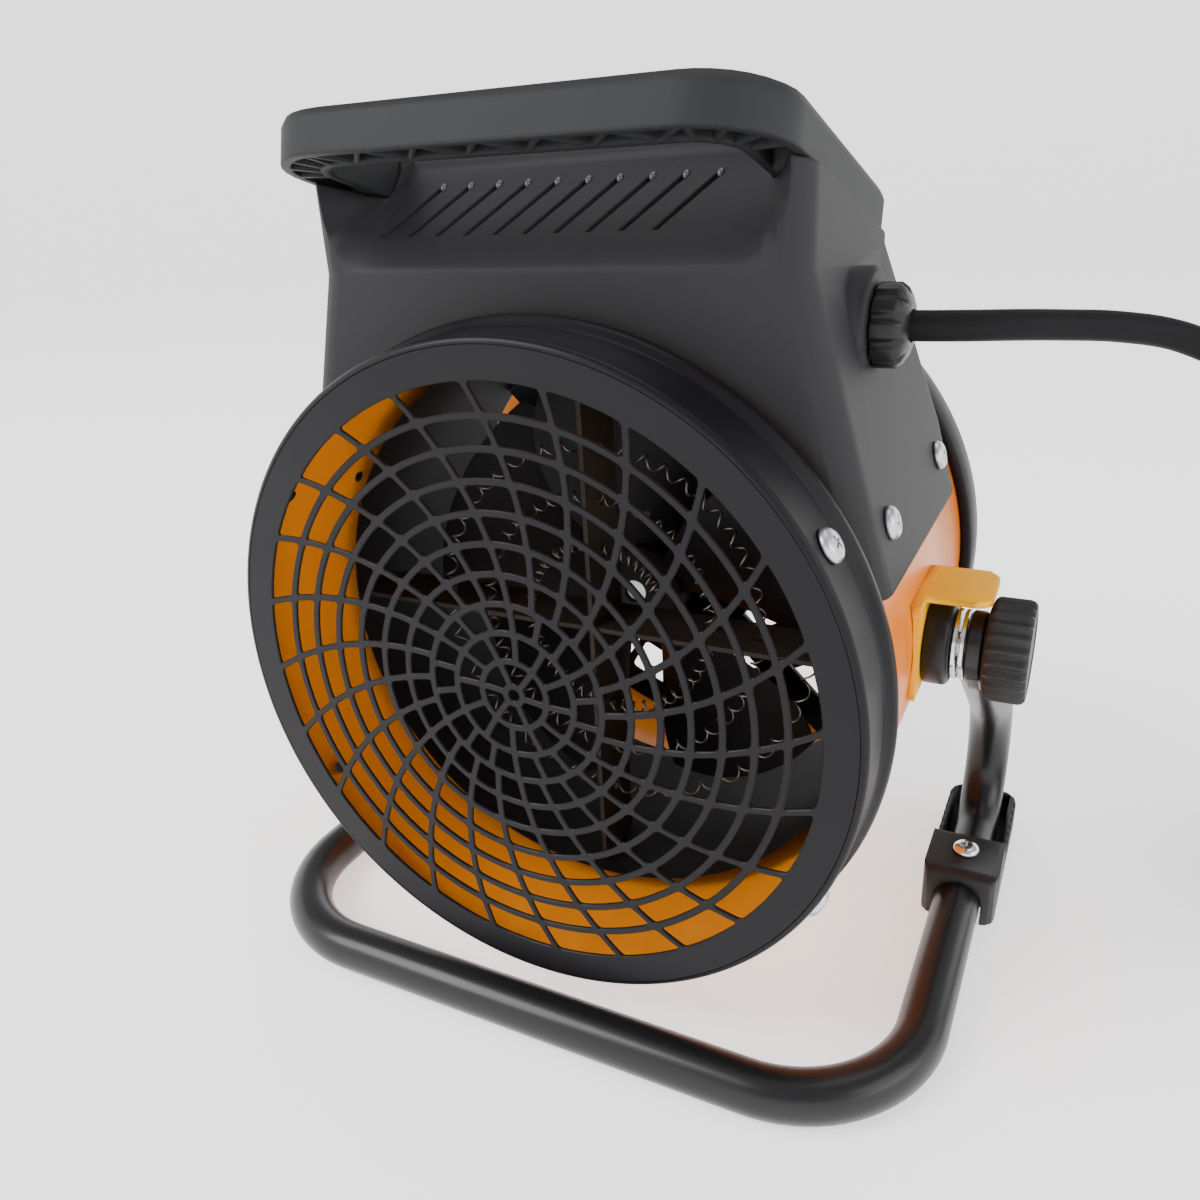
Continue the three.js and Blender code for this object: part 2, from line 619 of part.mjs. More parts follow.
// the heating wire winds outward through slots in two crossed boards
class FlatSpiral extends THREE.Curve {
  getPoint(t, target = V(0, 0, 0)) {
    const a = t * coilTurns * 2 * PI + 0.4;
    const r = coilStart + coilPitch * coilTurns * t;
    return target.set(r * cos(a), elementFront + elementDepth / 2, r * sin(a));
  }
}
const wire = (radius) => swept(new FlatSpiral(), radius, coilTurns * 20, 5);
piece(heaterGroup, 'heating_coil', wire(coilWire / 2), zinc);
const boardEnd = shieldBore * cos(PI / sides) - gap;
const board = block(-boardEnd, boardEnd, elementFront, elementFront + elementDepth,
  -micaSheet / 2, micaSheet / 2);
piece(heaterGroup, 'element_frame', toSolid(board).add(toSolid(board.clone().rotateY(PI / 2)))
  .subtract(toSolid(wire(coilWire / 2 + gap))), mica);

// a blade is lofted from the hub outward, turning flatter and wider towards its tip
const blade = (turn) => {
  const reach = (share) => fanHubRadius + (fanRadius - fanHubRadius) * share;
  const stations = [[fanHubRadius - 3, 22, 48], [reach(0.35), 34, 38], [reach(0.7), 42, 30],
    [fanRadius, 40, 25]];
  const rings = stations.map(([r, chord, pitch]) => {
    const a = rad(pitch);
    const half = chord / 2;
    const outline = [[-half, -0.4], [0, -bladeCamber - 0.9], [half, -0.4], [half, 0.4],
      [0, 0.9 - bladeCamber], [-half, 0.4]];
    return outline.map(([u, v]) => V(u * cos(a) - v * sin(a), u * sin(a) + v * cos(a), r));
  });
  return loft(rings).translate(0, fanPlace, 0).rotateY(turn);
};
const fanTools = Array.from({ length: fanBlades }, (_, i) => blade((i / fanBlades) * 2 * PI));
const fanHub = solidDisc(fanHubRadius, fanPlace - fanHubDepth / 2, fanPlace + fanHubDepth / 2, 32);
const shaftFront = fanPlace - fanHubDepth / 2 + 2;
const shaftBack = motorFront + 14;
const fanGroup = new THREE.Group();
heaterGroup.add(fanGroup);
piece(fanGroup, 'fan', join(fanHub, ...fanTools)
  .subtract(toSolid(solidDisc(shaftRadius + gap, shaftFront - gap, 100, 20))), steelGrey);
piece(fanGroup, 'motor_shaft', solidDisc(shaftRadius, shaftFront, shaftBack, 20), zinc);
const motorBack = motorFront + motorLength;
const motorBody = turned([[0, motorFront], [10, motorFront], [12, motorFront + 3],
  [motorRadius - 3, motorFront + 3], [motorRadius, motorFront + 6], [motorRadius, motorBack - 3],
  [motorRadius - 3, motorBack], [0, motorBack]], 28);
const motorBore = solidDisc(shaftRadius + gap, motorFront - 5, shaftBack + gap, 20);
piece(heaterGroup, 'fan_motor', cut(motorBody, motorBore), steelGrey);
const spiderY = shieldBack - 6;
const spider = join(ring(motorRadius + gap, motorRadius + 4, spiderY - 5, spiderY + strutSheet, 32),
  ...[0.25, 0.75, 1.25, 1.75].map((turn) => block(motorRadius + 2, boardEnd, spiderY, spiderY + strutSheet,
    -strutWidth / 2, strutWidth / 2).rotateY(turn * PI)));
piece(heaterGroup, 'motor_bracket', spider, zinc);

// ---------------------------------------------------------------- controls under and on the lid
const panelUnder = lidThick - lidDip - skin;
const panelTop = lidThick - lidDip;
const controls = [
  { name: 'thermostat', x: -knobX, depth: 17 },
  { name: 'selector', x: knobX, depth: 19 },
];
controls.forEach(({ name, x, depth }) => {
  const y = lidY(knobY);
  const top = panelUnder - gap;
  const half = switchBody / 2;
  const stemFoot = top - 6;
  const pit = new THREE.CylinderGeometry(stemRadius + gap, stemRadius + gap, 12, 16);
  piece(heaterGroup, `${name}_switch`, lidPlace(toGeometry(cut(
    block(x - half, x + half, y - half, y + half, top - depth, top), upLid(pit, x, y, stemFoot + 6)))), mica);
  const group = new THREE.Group();
  heaterGroup.add(group);
  const stemTop = panelTop + knobHeight - 3;
  const stem = new THREE.CylinderGeometry(stemRadius, stemRadius, stemTop - stemFoot - gap, 16);
  piece(group, `${name}_stem`, lidPlace(upLid(stem, x, y, (stemTop + stemFoot + gap) / 2)), brass);
  const knobBase = panelTop + gap;
  const cap = turned([[0, 0], [knobRadius, 0], [knobRadius, 2.4], [knobRadius - 2.4, 3.2],
    [knobRadius - 3.4, knobHeight - 1], [knobRadius - 4.4, knobHeight], [0, knobHeight]], 30);
  const socket = place(new THREE.CylinderGeometry(stemRadius + gap, stemRadius + gap, 20, 16),
    0, stemTop - knobBase + gap - 10, 0);
  const grip = place(new THREE.BoxGeometry(4, 3, knobRadius * 1.5), 0, knobHeight - 0.7, 0);
  piece(group, `${name}_knob`, lidPlace(upLid(toGeometry(join(cap, grip).subtract(toSolid(socket))),
    x, y, knobBase)), softBlack);
});

// ---------------------------------------------------------------- wiring pieces on top of the drum
const terminalY = housingBackTop - 16;
const terminalTop = drumRadius + 11.4;
const terminals = [-15, -5, 5, 15].map((x) =>
  place(new THREE.BoxGeometry(6, 20, 8), x, terminalY, terminalTop - 2));
piece(heaterGroup, 'terminal_block', cut(block(-22, 22, terminalY - 7, terminalY + 7,
  drumRadius - 10, terminalTop), drumCore(), ...terminals), mica);
const cutoutTop = drumRadius - drumWall - gap;
const cutoutFront = fanPlace - 10;
piece(heaterGroup, 'thermal_cutout', toSolid(block(-9, 9, cutoutFront, cutoutFront + 18, 0, drumRadius))
  .intersect(toSolid(ring(shieldRadius + gap, cutoutTop, cutoutFront - 9, cutoutFront + 27))), brass);

// ---------------------------------------------------------------- cable gland
// A threaded sleeve through the housing wall, and the ribbed nut that closes it round the lead.
const glandBodyRadius = glandHoleRadius - gap;
const sleeveOut = glandNutLength - 4;
const cordHole = () => glandAt(solidDisc(cordRadius + gap, -40, 40, 16), glandFace);
const glandSleeve = glandAt(turned([[0, -16], [glandHoleRadius + 2.5, -16], [glandHoleRadius + 2.5, -13],
  [glandBodyRadius, -13], [glandBodyRadius, sleeveOut], [0, sleeveOut]], 20), glandFace);
piece(heaterGroup, 'gland_sleeve', cut(glandSleeve, cordHole()), softBlack);
const nutOutline = [[0, gap], [glandNutRadius, gap], [glandNutRadius, glandNutLength - 3.4],
  [glandNutRadius - 1.2, glandNutLength - 1.6], [glandNutRadius - 5.4, glandNutLength], [0, glandNutLength]];
const nutGrooves = Array.from({ length: glandNutGrooves }, (_, i) => glandAt(
  place(new THREE.BoxGeometry(1.6, glandNutLength - 3, 1.6), 0, glandNutLength / 2 - 1.5, glandNutRadius)
    .rotateY((i / glandNutGrooves) * 2 * PI), glandFace));
piece(heaterGroup, 'gland_nut', cut(glandAt(turned(nutOutline, 20), glandFace), cordHole(),
  glandAt(solidDisc(glandHoleRadius, -10, sleeveOut + gap, 20), glandFace), ...nutGrooves), softBlack);

// ---------------------------------------------------------------- pivots
// On each side a pressed bracket on the drum carries a bolt; a bush, a spring between washers, the
// flattened end of the stand and a clamp knob follow each other along it.
const mirrored = (geometry) => {
  const flipped = geometry.clone().scale(-1, 1, 1);
  const corners = (flipped.index ?? new THREE.BufferAttribute(
    Uint32Array.from({ length: flipped.attributes.position.count }, (_, k) => k), 1)).array.slice();
  for (let k = 0; k < corners.length; k += 3) [corners[k], corners[k + 1]] = [corners[k + 1], corners[k]];
  flipped.setIndex(new THREE.BufferAttribute(corners, 1));
  return flipped;
};
const bothSides = (group, name, shape, finish) => {
  const geometry = shape.isBufferGeometry ? shape : toGeometry(shape);
  piece(group.right, `${name}_right`, geometry, finish);
  piece(group.left, `${name}_left`, mirrored(geometry), finish);
};
const heaterSides = { right: heaterGroup, left: heaterGroup };
const clampSides = { right: new THREE.Group(), left: new THREE.Group() };
heaterGroup.add(clampSides.right, clampSides.left);

const bushStart = bracketFace + gap;
const bushEnd = bushStart + bushLength;
const eyeStart = standX - eyeSheet / 2;
const eyeEnd = standX + eyeSheet / 2;
const clampStart = eyeEnd + gap;
const clampEnd = clampStart + clampLength;
const boltHead = bracketFace - bracketSheet;
const alongX = (outline, segments = 16) => aboutX(turned(outline, segments));
const boltHole = (from, to) => aboutX(solidDisc(boltRadius + gap, from, to, 20));

const hoodOutline = roundedOutline(bracketFace - 6, hoodReach, hoodFront, bracketHalf, 5, 7);
const hoodTop = flat(polygon(hoodOutline), bracketTop - bracketSheet, bracketTop);
const hoodBack = upright(polygon(roundedOutline(bracketFace - 3, hoodReach - 3, 7, bracketTop, 5, 0.5)),
  bracketHalf - bracketSheet, bracketHalf);
const box = cut(block(bracketFace - 11, bracketFace, -bracketHalf, bracketHalf, bracketBottom, bracketTop),
  block(bracketFace - 23, boltHead, -bracketHalf + bracketSheet, bracketHalf - bracketSheet,
    bracketBottom - 5, bracketTop - bracketSheet));
const bracket = box.add(toSolid(hoodTop)).add(toSolid(hoodBack)).subtract(toSolid(drumCore()))
  .subtract(toSolid(boltHole(bracketFace - 13, bracketFace + 7)));
bothSides(heaterSides, 'pivot_bracket', bracket, amberPaint);
const boltEnd = clampEnd - 4;
const bolt = aboutX(solidDisc(boltRadius, drumRadius + gap * 2, boltEnd, 16));
bothSides(heaterSides, 'pivot_bolt', bolt, chrome);
bothSides(heaterSides, 'pivot_bush', alongX([[boltRadius + gap, bushStart], [bushRadius, bushStart],
  [bushRadius, bushEnd - 1], [bushRadius - 1, bushEnd], [boltRadius + gap, bushEnd]]), softBlack);
const washer = (from) => [[boltRadius + gap, from], [washerRadius, from], [washerRadius, from + washerSheet],
  [boltRadius + gap, from + washerSheet]];
const innerWasher = bushEnd + gap;
const outerWasher = eyeStart - gap - washerSheet;
bothSides(heaterSides, 'washer_inner', alongX(washer(innerWasher)), chrome);
bothSides(heaterSides, 'washer_outer', alongX(washer(outerWasher)), chrome);
const clampRib = Array.from({ length: clampRibs }, (_, i) => aboutX(place(
  new THREE.CylinderGeometry(1, 1, clampLength - 3, 4), 0, clampStart + clampLength / 2 + 1.5, clampRadius)
  .rotateY((i / clampRibs) * 2 * PI)));
const clampBody = alongX([[0, clampStart], [clampRadius - 4, clampStart], [clampRadius, clampStart + 1.5],
  [clampRadius, clampEnd - 1.4], [clampRadius - 1.4, clampEnd], [0, clampEnd]], 32);
bothSides(clampSides, 'clamp_knob', toSolid(clampBody).subtract(toSolid(boltHole(bracketFace, boltEnd + gap)))
  .subtract(clampRib.map(toSolid).reduce((a, b) => a.add(b))), softBlack);

// ---------------------------------------------------------------- stand
// One tube: front bar, two legs along the floor, a heel, and an arm that leans forward to the pivot,
// where its end is pressed flat round the bolt.
const legZ = tubeRadius;
const pivotZ = axisHeight;
const elbowZ = legZ + heelRadius + heelRise;             // the arm is a tangent to the elbow's bend
const armLean = atan2(pivotZ - elbowZ, heelY - armRadius)
  - asin(armRadius / hypot(pivotZ - elbowZ, heelY - armRadius));
const arc = (centre, u, v, radius, angle) => centre.clone()
  .addScaledVector(u, radius * sin(angle)).addScaledVector(v, -radius * cos(angle));
class Route extends THREE.CurvePath {
  line(a, b) { this.add(new THREE.LineCurve3(a, b)); return this; }
  bend(centre, u, v, radius, angle) {
    const curve = new THREE.Curve();
    curve.getPoint = (t, target = V(0, 0, 0)) => target.copy(arc(centre, u, v, radius, angle * t));
    this.add(curve);
    return this;
  }
}
const ahead = V(0, 1, 0);
const upward = V(0, 0, 1);
const armDrop = V(0, cos(armLean), -sin(armLean));       // from the pivot down and back
const armNormal = V(0, sin(armLean), cos(armLean));
const elbowTurn = PI / 2 - armLean;
const elbowTangent = armRadius * tan(elbowTurn / 2);
const elbowCorner = heelY / cos(armLean);
const pivot = V(standX, 0, pivotZ);
const elbowStart = pivot.clone().addScaledVector(armDrop, elbowCorner - elbowTangent);
const elbowCentre = elbowStart.clone().addScaledVector(armNormal, -armRadius);
const heelTop = V(standX, heelY, legZ + heelRadius);
const heelBottom = V(standX, heelY - heelRadius, legZ);
const heelCentre = V(standX, heelY - heelRadius, legZ + heelRadius);
const elbowEnd = V(standX, heelY, elbowCentre.z);
const cornerSpot = V(standX - standCorner, standFront + standCorner, legZ);
const acrossX = V(1, 0, 0);
const halfRoute = new Route()
  .line(pivot.clone().addScaledVector(armDrop, flatEnd), elbowStart)
  .bend(elbowCentre, armDrop, armNormal.clone().negate(), armRadius, elbowTurn)
  .line(elbowEnd, heelTop)
  .bend(heelCentre, upward.clone().negate(), ahead.clone().negate(), heelRadius, PI / 2)
  .line(heelBottom, V(standX, standFront + standCorner, legZ))
  .bend(cornerSpot, ahead.clone().negate(), acrossX.clone().negate(), standCorner, PI / 2)
  .line(V(standX - standCorner, standFront, legZ), V(0, standFront, legZ));

// A tube is lofted over rings square to its route, without any twist between them.
const tubeFacets = 10;
const frameAt = (curve, t, flatPart) => {
  const e = 1e-3;
  const along = curve.getPoint(min(1, t + e)).sub(curve.getPoint(max(0, t - e))).normalize();
  const side = flatPart ? V(0, 0, 1).cross(along).normalize() : V(1, 0, 0);
  return { at: curve.getPoint(t), side, lift: along.clone().cross(side).normalize() };
};
const ringOf = ({ at, side, lift }, sideHalf, liftHalf, square = 1) =>
  Array.from({ length: tubeFacets }, (_, i) => {
    const a = ((i + 0.5) / tubeFacets) * 2 * PI;
    const u = sign(cos(a)) * abs(cos(a)) ** square;
    return at.clone().addScaledVector(side, sideHalf * u).addScaledVector(lift, liftHalf * sin(a));
  });
const standHalf = (radius) => {
  const start = frameAt(halfRoute.curves[0], 0, false);
  const back = (distance) => ({ ...start, at: pivot.clone().addScaledVector(armDrop, distance) });
  const eyeThin = eyeSheet / 2 + radius - tubeRadius;
  const eyeWide = eyeRadius + radius - tubeRadius;
  const rings = [ringOf(back(0), eyeThin, eyeWide, 0.12), ringOf(back(flatEnd - 12), eyeThin, eyeWide, 0.12),
    ringOf(start, radius, radius)];
  halfRoute.curves.forEach((curve, index) => {
    const steps = curve.isLineCurve3 ? 1 : 6;
    for (let k = 1; k <= steps; k += 1) {
      rings.push(ringOf(frameAt(curve, k / steps, index >= 5), radius, radius));
    }
  });
  return rings;
};
const standLoop = (radius) => {
  const rings = standHalf(radius);
  const other = rings.slice(0, -1).reverse().map((points) => points.map((p) => V(-p.x, p.y, p.z)));
  return loft([...rings, ...other]);
};
const eye = (side) => aboutX(solidDisc(eyeRadius, -eyeSheet / 2, eyeSheet / 2, 20))
  .translate(side * standX, 0, pivotZ);
const footScrewAt = (shape, side) => (shape.isBufferGeometry ? shape : toGeometry(shape))
  .rotateX(PI / 2).translate(side * standX, footScrewY, footTop + gap);
const pivotBore = aboutX(solidDisc(boltRadius + gap, -standX - 50, standX + 50, 20)).translate(0, 0, pivotZ);
piece(standGroup, 'stand_tube', drill(join(standLoop(tubeRadius), eye(1), eye(-1)),
  [pivotBore, footScrewAt(screwHole(22), 1), footScrewAt(screwHole(22), -1)]), blackPaint);

// Each foot is a moulded saddle over the leg, with a trough behind it that the tube rises from.
const footSides = { right: standGroup, left: standGroup };
const footPlan = roundedOutline(standX - footHalf, standX + footHalf, footFront, footBack, 5, 8, 3);
const footShape = new THREE.Shape();
footShape.moveTo(footFront, 0).lineTo(footBack, 0).lineTo(footBack, footRail).lineTo(footSaddle + 8, footRail)
  .quadraticCurveTo(footSaddle + 1, footRail, footSaddle, footTop).lineTo(footFront + 4, footTop)
  .quadraticCurveTo(footFront, footTop, footFront, footTop - 5).closePath();
const footGrips = Array.from({ length: footRibs }, (_, i) => [1, -1].map((side) => place(
  new THREE.BoxGeometry(1.6, 2, 20), standX + side * footHalf, footSaddle + 8 + i * 5.2, 12))).flat();
const footSolid = toSolid(flat(polygon(footPlan), 0, footTop + 1))
  .intersect(toSolid(sideways(footShape, standX - 20, standX + 20)))
  .subtract(toSolid(block(standX - footHalf + skin, standX + footHalf - skin, footSaddle, footBack - skin,
    footFloor, footTop + 5)))
  .subtract(toSolid(standLoop(tubeRadius + gap)))
  .subtract(toSolid(block(standX - tubeRadius - gap, standX + tubeRadius + gap, 0, heelY - heelRadius,
    -5, legZ)))
  .subtract(toSolid(footScrewAt(screwHole(22), 1)));
bothSides(footSides, 'foot', drill(footSolid, footGrips), softBlack);
bothSides(footSides, 'foot_screw', footScrewAt(screw(), 1), chrome);

// ---------------------------------------------------------------- mains lead
// It leaves the gland to the right and back, drops to the floor beside the stand, and what is left
// of its length is wound up there in a flat coil of two layers that ends in the plug.
const coilStraight = 2 * cordRadius;
const coilPoint = (turns) => {
  const fromMiddle = abs(turns - coilSpread);
  const eased = fromMiddle < 0.15 ? (fromMiddle ** 2 / 0.15 + 0.15) / 2 : fromMiddle;
  const r = coilMiddle + coilStep * (eased - coilSpread / 2);
  const a = turns * 2 * PI - PI / 2;
  const t = min(1, max(0, turns - coilSpread + 0.25) * 2);
  return V(coilCentre[0] + r * cos(a), coilCentre[1] + r * sin(a),
    cordRadius + coilStep * t * t * (3 - 2 * t));
};
const coilIn = coilPoint(0);
const coilMeet = coilIn.clone().add(V(-coilStraight, 0, 0));
const freeRoute = [
  ...[[75.6, -8, 217.1], [86, -8, 217.1], [97, -8, 217.1], [108, -5.2, 216.9], [119, 0.6, 216.4],
    [130, 8.6, 215.4], [144, 17.2, 213.9], [159, 25.4, 210.4], [174.4, 30.8, 202.6], [186.8, 33, 190.2],
    [195.6, 33.3, 174], [201, 32.7, 155], [203.1, 31.7, 135], [203.6, 31, 110], [204, 30.6, 85],
    [204, 31, 62], [204.2, 32, 40.2], [206.9, 32.9, 26.4], [214.7, 33.9, 14.7], [226.4, 34.8, 6.9],
    [238, 35.15, 4.2]].map(([x, y, z]) => V(x, y, z)),
  coilMeet.clone().add(V(-gap, 0, 0)),
];
const freeCurve = new THREE.CatmullRomCurve3(freeRoute, false, 'centripetal');
const freeLength = freeCurve.getLength();
piece(model, 'mains_cord', swept(freeCurve, cordRadius, 30, 10), cordRubber);

// the coil ends where the whole length is used up
const coilLine = [coilMeet, coilIn];
let used = freeLength + 2 * coilStraight;
let coilTurned = 0;
while (used < cordLength) {
  const last = coilLine[coilLine.length - 1];
  const step = coilPoint(coilTurned + 1 / coilSteps).distanceTo(last);
  const share = min(1, (cordLength - used) / step);
  coilTurned += share / coilSteps;
  coilLine.push(coilPoint(coilTurned));
  used += share * step + 1e-6;
}
const lastTwo = coilLine.slice(-2);
const coilHeading = lastTwo[1].clone().sub(lastTwo[0]).setZ(0).normalize();
const coilOut = lastTwo[1].clone().addScaledVector(coilHeading, coilStraight);
coilLine.push(coilOut);
const coilCurve = new THREE.CatmullRomCurve3(coilLine, false, 'centripetal');
piece(model, 'cord_coil', swept(coilCurve, cordRadius, coilLine.length - 1, 6), cordRubber);

const samples = coilCurve.getSpacedPoints(coilLine.length * 8);
const sampleStep = coilCurve.getLength() / (samples.length - 1);
const apart = ceil(8 * cordRadius / sampleStep);
let nearest = Infinity;
for (let i = 0; i < samples.length; i += 1) {
  for (let j = i + apart; j < samples.length; j += 1) {
    nearest = min(nearest, samples[i].distanceTo(samples[j]));
  }
}
console.log(`coil: least gap to itself ${(nearest - 2 * cordRadius).toFixed(2)} mm, `
  + `${coilTurned.toFixed(2)} turns, whole lead ${used.toFixed(0)} mm`);

// A round moulded plug with two pins lies flat behind the end of the coil.
const onPlug = (shape) => (shape.isBufferGeometry ? shape : toGeometry(shape))
  .rotateZ(atan2(coilHeading.y, coilHeading.x) - PI / 2).translate(coilOut.x, coilOut.y, coilOut.z);
const plugOutline = [[0, gap], [cordRadius + 0.5, gap], [cordRadius + 1.2, 10],
  [cordRadius + 3, plugLength - 25], [plugRadius, plugLength - 17], [plugRadius, plugLength - 2],
  [plugRadius - 2, plugLength], [0, plugLength]];
const pinPlace = [-pinSpread / 2, pinSpread / 2];
const pinFoot = plugLength - 8;
const pinEnd = plugLength + pinLength;
const pinHole = (x) => place(solidDisc(pinRadius + gap, pinFoot - 1, plugLength + 10, 12), x, 0, 0);
piece(model, 'plug', onPlug(cut(turned(plugOutline, 24), ...pinPlace.map(pinHole))), cordRubber);
pinPlace.forEach((x, i) => {
  const pin = turned([[0, pinFoot], [pinRadius, pinFoot], [pinRadius, pinEnd - 1.5], [pinRadius - 1, pinEnd],
    [0, pinEnd]], 10);
  piece(model, `plug_pin_${i + 1}`, onPlug(place(pin, x, 0, 0)), zinc);
});

export default model;
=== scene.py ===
"""A forced air heater on its tilting stand, seen from its right front corner on a pale floor."""
import math

import bmesh
import bpy
from mathutils import Euler, Matrix, Vector
from mathutils.geometry import tessellate_polygon


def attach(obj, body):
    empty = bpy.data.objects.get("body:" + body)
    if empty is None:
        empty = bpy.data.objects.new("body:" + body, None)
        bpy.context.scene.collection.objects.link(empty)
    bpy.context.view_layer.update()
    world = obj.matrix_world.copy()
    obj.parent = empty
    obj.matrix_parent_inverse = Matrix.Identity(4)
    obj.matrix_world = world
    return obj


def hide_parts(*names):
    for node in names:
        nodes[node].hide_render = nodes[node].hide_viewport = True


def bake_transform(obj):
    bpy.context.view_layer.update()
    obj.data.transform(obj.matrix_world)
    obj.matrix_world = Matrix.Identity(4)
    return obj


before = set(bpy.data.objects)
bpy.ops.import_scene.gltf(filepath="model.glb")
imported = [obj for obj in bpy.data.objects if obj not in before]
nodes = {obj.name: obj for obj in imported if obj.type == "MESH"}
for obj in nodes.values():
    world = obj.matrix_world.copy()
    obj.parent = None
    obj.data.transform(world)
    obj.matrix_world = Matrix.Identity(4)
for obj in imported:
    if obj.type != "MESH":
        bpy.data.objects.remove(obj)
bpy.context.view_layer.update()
scene = bpy.context.scene

# ---------------------------------------------------------------------------
# The camera stands a little above the handle, to the right of the grille, and looks down at it. Its
# lens, place and angles were solved from the circles of the drum and the bent tube of the stand.
# ---------------------------------------------------------------------------
camera_place = Vector((0.1458, -0.2976, 0.2587))
camera_angles = [math.radians(degrees) for degrees in (67.2120, 2.9811, 26.6879)]
lens = bpy.data.cameras.new("camera")
lens.lens = 30.1335
lens.sensor_width = 36
camera = bpy.data.objects.new("camera", lens)
scene.collection.objects.link(camera)
camera.matrix_world = Matrix.LocRotScale(camera_place, Euler(camera_angles), None)
scene.camera = camera


# ---------------------------------------------------------------------------
# The mains lead is a round rubber-sheathed cable, 8.4 mm thick and 1.5 m long. It comes out of the
# gland, drops to the floor beside the stand, and the rest lies there in a coil of two layers.
# ---------------------------------------------------------------------------
class Wire:
    """A shader value. An expression on wires adds the Math nodes that it needs."""

    def __init__(self, tree, socket):
        self.tree = tree
        self.socket = socket

    def math(self, operation, *values):
        node = self.tree.nodes.new("ShaderNodeMath")
        node.operation = operation
        for socket, value in zip(node.inputs, values):
            if isinstance(value, Wire):
                self.tree.links.new(value.socket, socket)
            else:
                socket.default_value = value
        return Wire(self.tree, node.outputs[0])

    def __add__(self, other):
        return self.math("ADD", self, other)

    def __radd__(self, other):
        return self.math("ADD", other, self)

    def __sub__(self, other):
        return self.math("SUBTRACT", self, other)

    def __rsub__(self, other):
        return self.math("SUBTRACT", other, self)

    def __mul__(self, other):
        return self.math("MULTIPLY", self, other)

    def __rmul__(self, other):
        return self.math("MULTIPLY", other, self)

    def __pow__(self, other):
        return self.math("POWER", self, other)

    def __rpow__(self, other):
        return self.math("POWER", other, self)

    def __lt__(self, other):
        return self.math("LESS_THAN", self, other)

    def __gt__(self, other):
        return self.math("GREATER_THAN", self, other)


class Finish:
    """One procedural material. Constants go on the shader's own sockets, and node() adds the rest."""

    def __init__(self, name, **constants):
        self.material = bpy.data.materials.new(name)
        self.material.use_nodes = True
        self.tree = self.material.node_tree
        self.shader = self.tree.nodes["Principled BSDF"]
        self.fill(self.shader, constants)
        self.place = self.node("ShaderNodeTexCoord", output="Object")

    def fill(self, node, values):
        """Sets or links sockets by name, with _ for a space."""
        for name, value in values.items():
            label = name.replace("_", " ").lower()
            socket = next(s for s in node.inputs if s.name.lower() == label and s.enabled)
            if isinstance(value, Wire):
                self.tree.links.new(value.socket, socket)
            elif isinstance(value, tuple) and socket.type == "RGBA":
                socket.default_value = (*value, 1)
            else:
                socket.default_value = value

    def node(self, kind, settings=None, output=0, **values):
        """Any node: its type, the settings that come first, the output that is read, its sockets."""
        node = self.tree.nodes.new(kind)
        for name, value in (settings or {}).items():
            setattr(node, name, value)
        self.fill(node, values)
        return Wire(self.tree, node.outputs[output])

    def noise(self, scale, detail):
        """Soft noise from 0 to 1, whose scale is in features to the metre."""
        return self.node("ShaderNodeTexNoise", Vector=self.place, Scale=scale, Detail=detail)

    def mix(self, amount, first, second):
        """A colour between two others."""
        return self.node("ShaderNodeMix", {"data_type": "RGBA"}, 2, Factor=amount, A=first, B=second)

    def bump(self, height, distance, strength=1.0, **values):
        """Raises the surface by a height, over a distance in metres."""
        normal = self.node("ShaderNodeBump", Height=height, Distance=distance, Strength=strength, **values)
        self.fill(self.shader, {"Normal": normal})

    def on(self, *objects):
        for piece in objects:
            piece.data.materials.clear()
            piece.data.materials.append(self.material)


def bare(name, data, body, slot, *replaced):
    """Adds a piece that rides on a body and stands for CAD nodes, which it hides. The slot is not used."""
    piece = bpy.data.objects.new(name, data)
    scene.collection.objects.link(piece)
    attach(piece, body)
    if replaced:
        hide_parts(*replaced)
    return piece


MM = 0.001
cord_thick = 8.4
cord_length = 1500
coil_centre = (253, 88)
coil_middle = 42.5      # radius midway through the turns of a layer
coil_step = 9.2         # from turn to turn and from layer to layer
coil_spread = 2.25      # turns in the lower layer
reversal = 0.15         # turns over which the spiral eases from inward to outward
climb_turns = 0.5       # turns over which the lead climbs onto the upper layer
coil_steps = 72
route_steps = 8


def coil_point(turns):
    """Where the lead's middle lies so many turns into the coil."""
    from_middle = abs(turns - coil_spread)
    if from_middle < reversal:
        from_middle = (from_middle ** 2 / reversal + reversal) / 2
    radius = coil_middle + coil_step * (from_middle - coil_spread / 2)
    angle = turns * 2 * math.pi - math.pi / 2
    climb = min(1, max(0, turns - coil_spread + climb_turns / 2) / climb_turns)
    return Vector((coil_centre[0] + radius * math.cos(angle), coil_centre[1] + radius * math.sin(angle),
                   cord_thick / 2 + coil_step * climb * climb * (3 - 2 * climb)))


def smooth_path(points, steps):
    """Centripetal Catmull-Rom points through a given route."""
    ends = [points[0] * 2 - points[1], *points, points[-1] * 2 - points[-2]]
    path = []
    for a, b, c, d in zip(ends, ends[1:], ends[2:], ends[3:]):
        tb = (b - a).length ** 0.5
        tc = tb + (c - b).length ** 0.5
        td = tc + (d - c).length ** 0.5
        for k in range(steps):
            t = tb + (tc - tb) * k / steps
            ab = a.lerp(b, t / tb)
            bc = b.lerp(c, (t - tb) / (tc - tb))
            cd = c.lerp(d, (t - tc) / (td - tc))
            path.append(ab.lerp(bc, t / tc).lerp(bc.lerp(cd, (t - tb) / (td - tb)), (t - tb) / (tc - tb)))
    return path + [points[-1]]


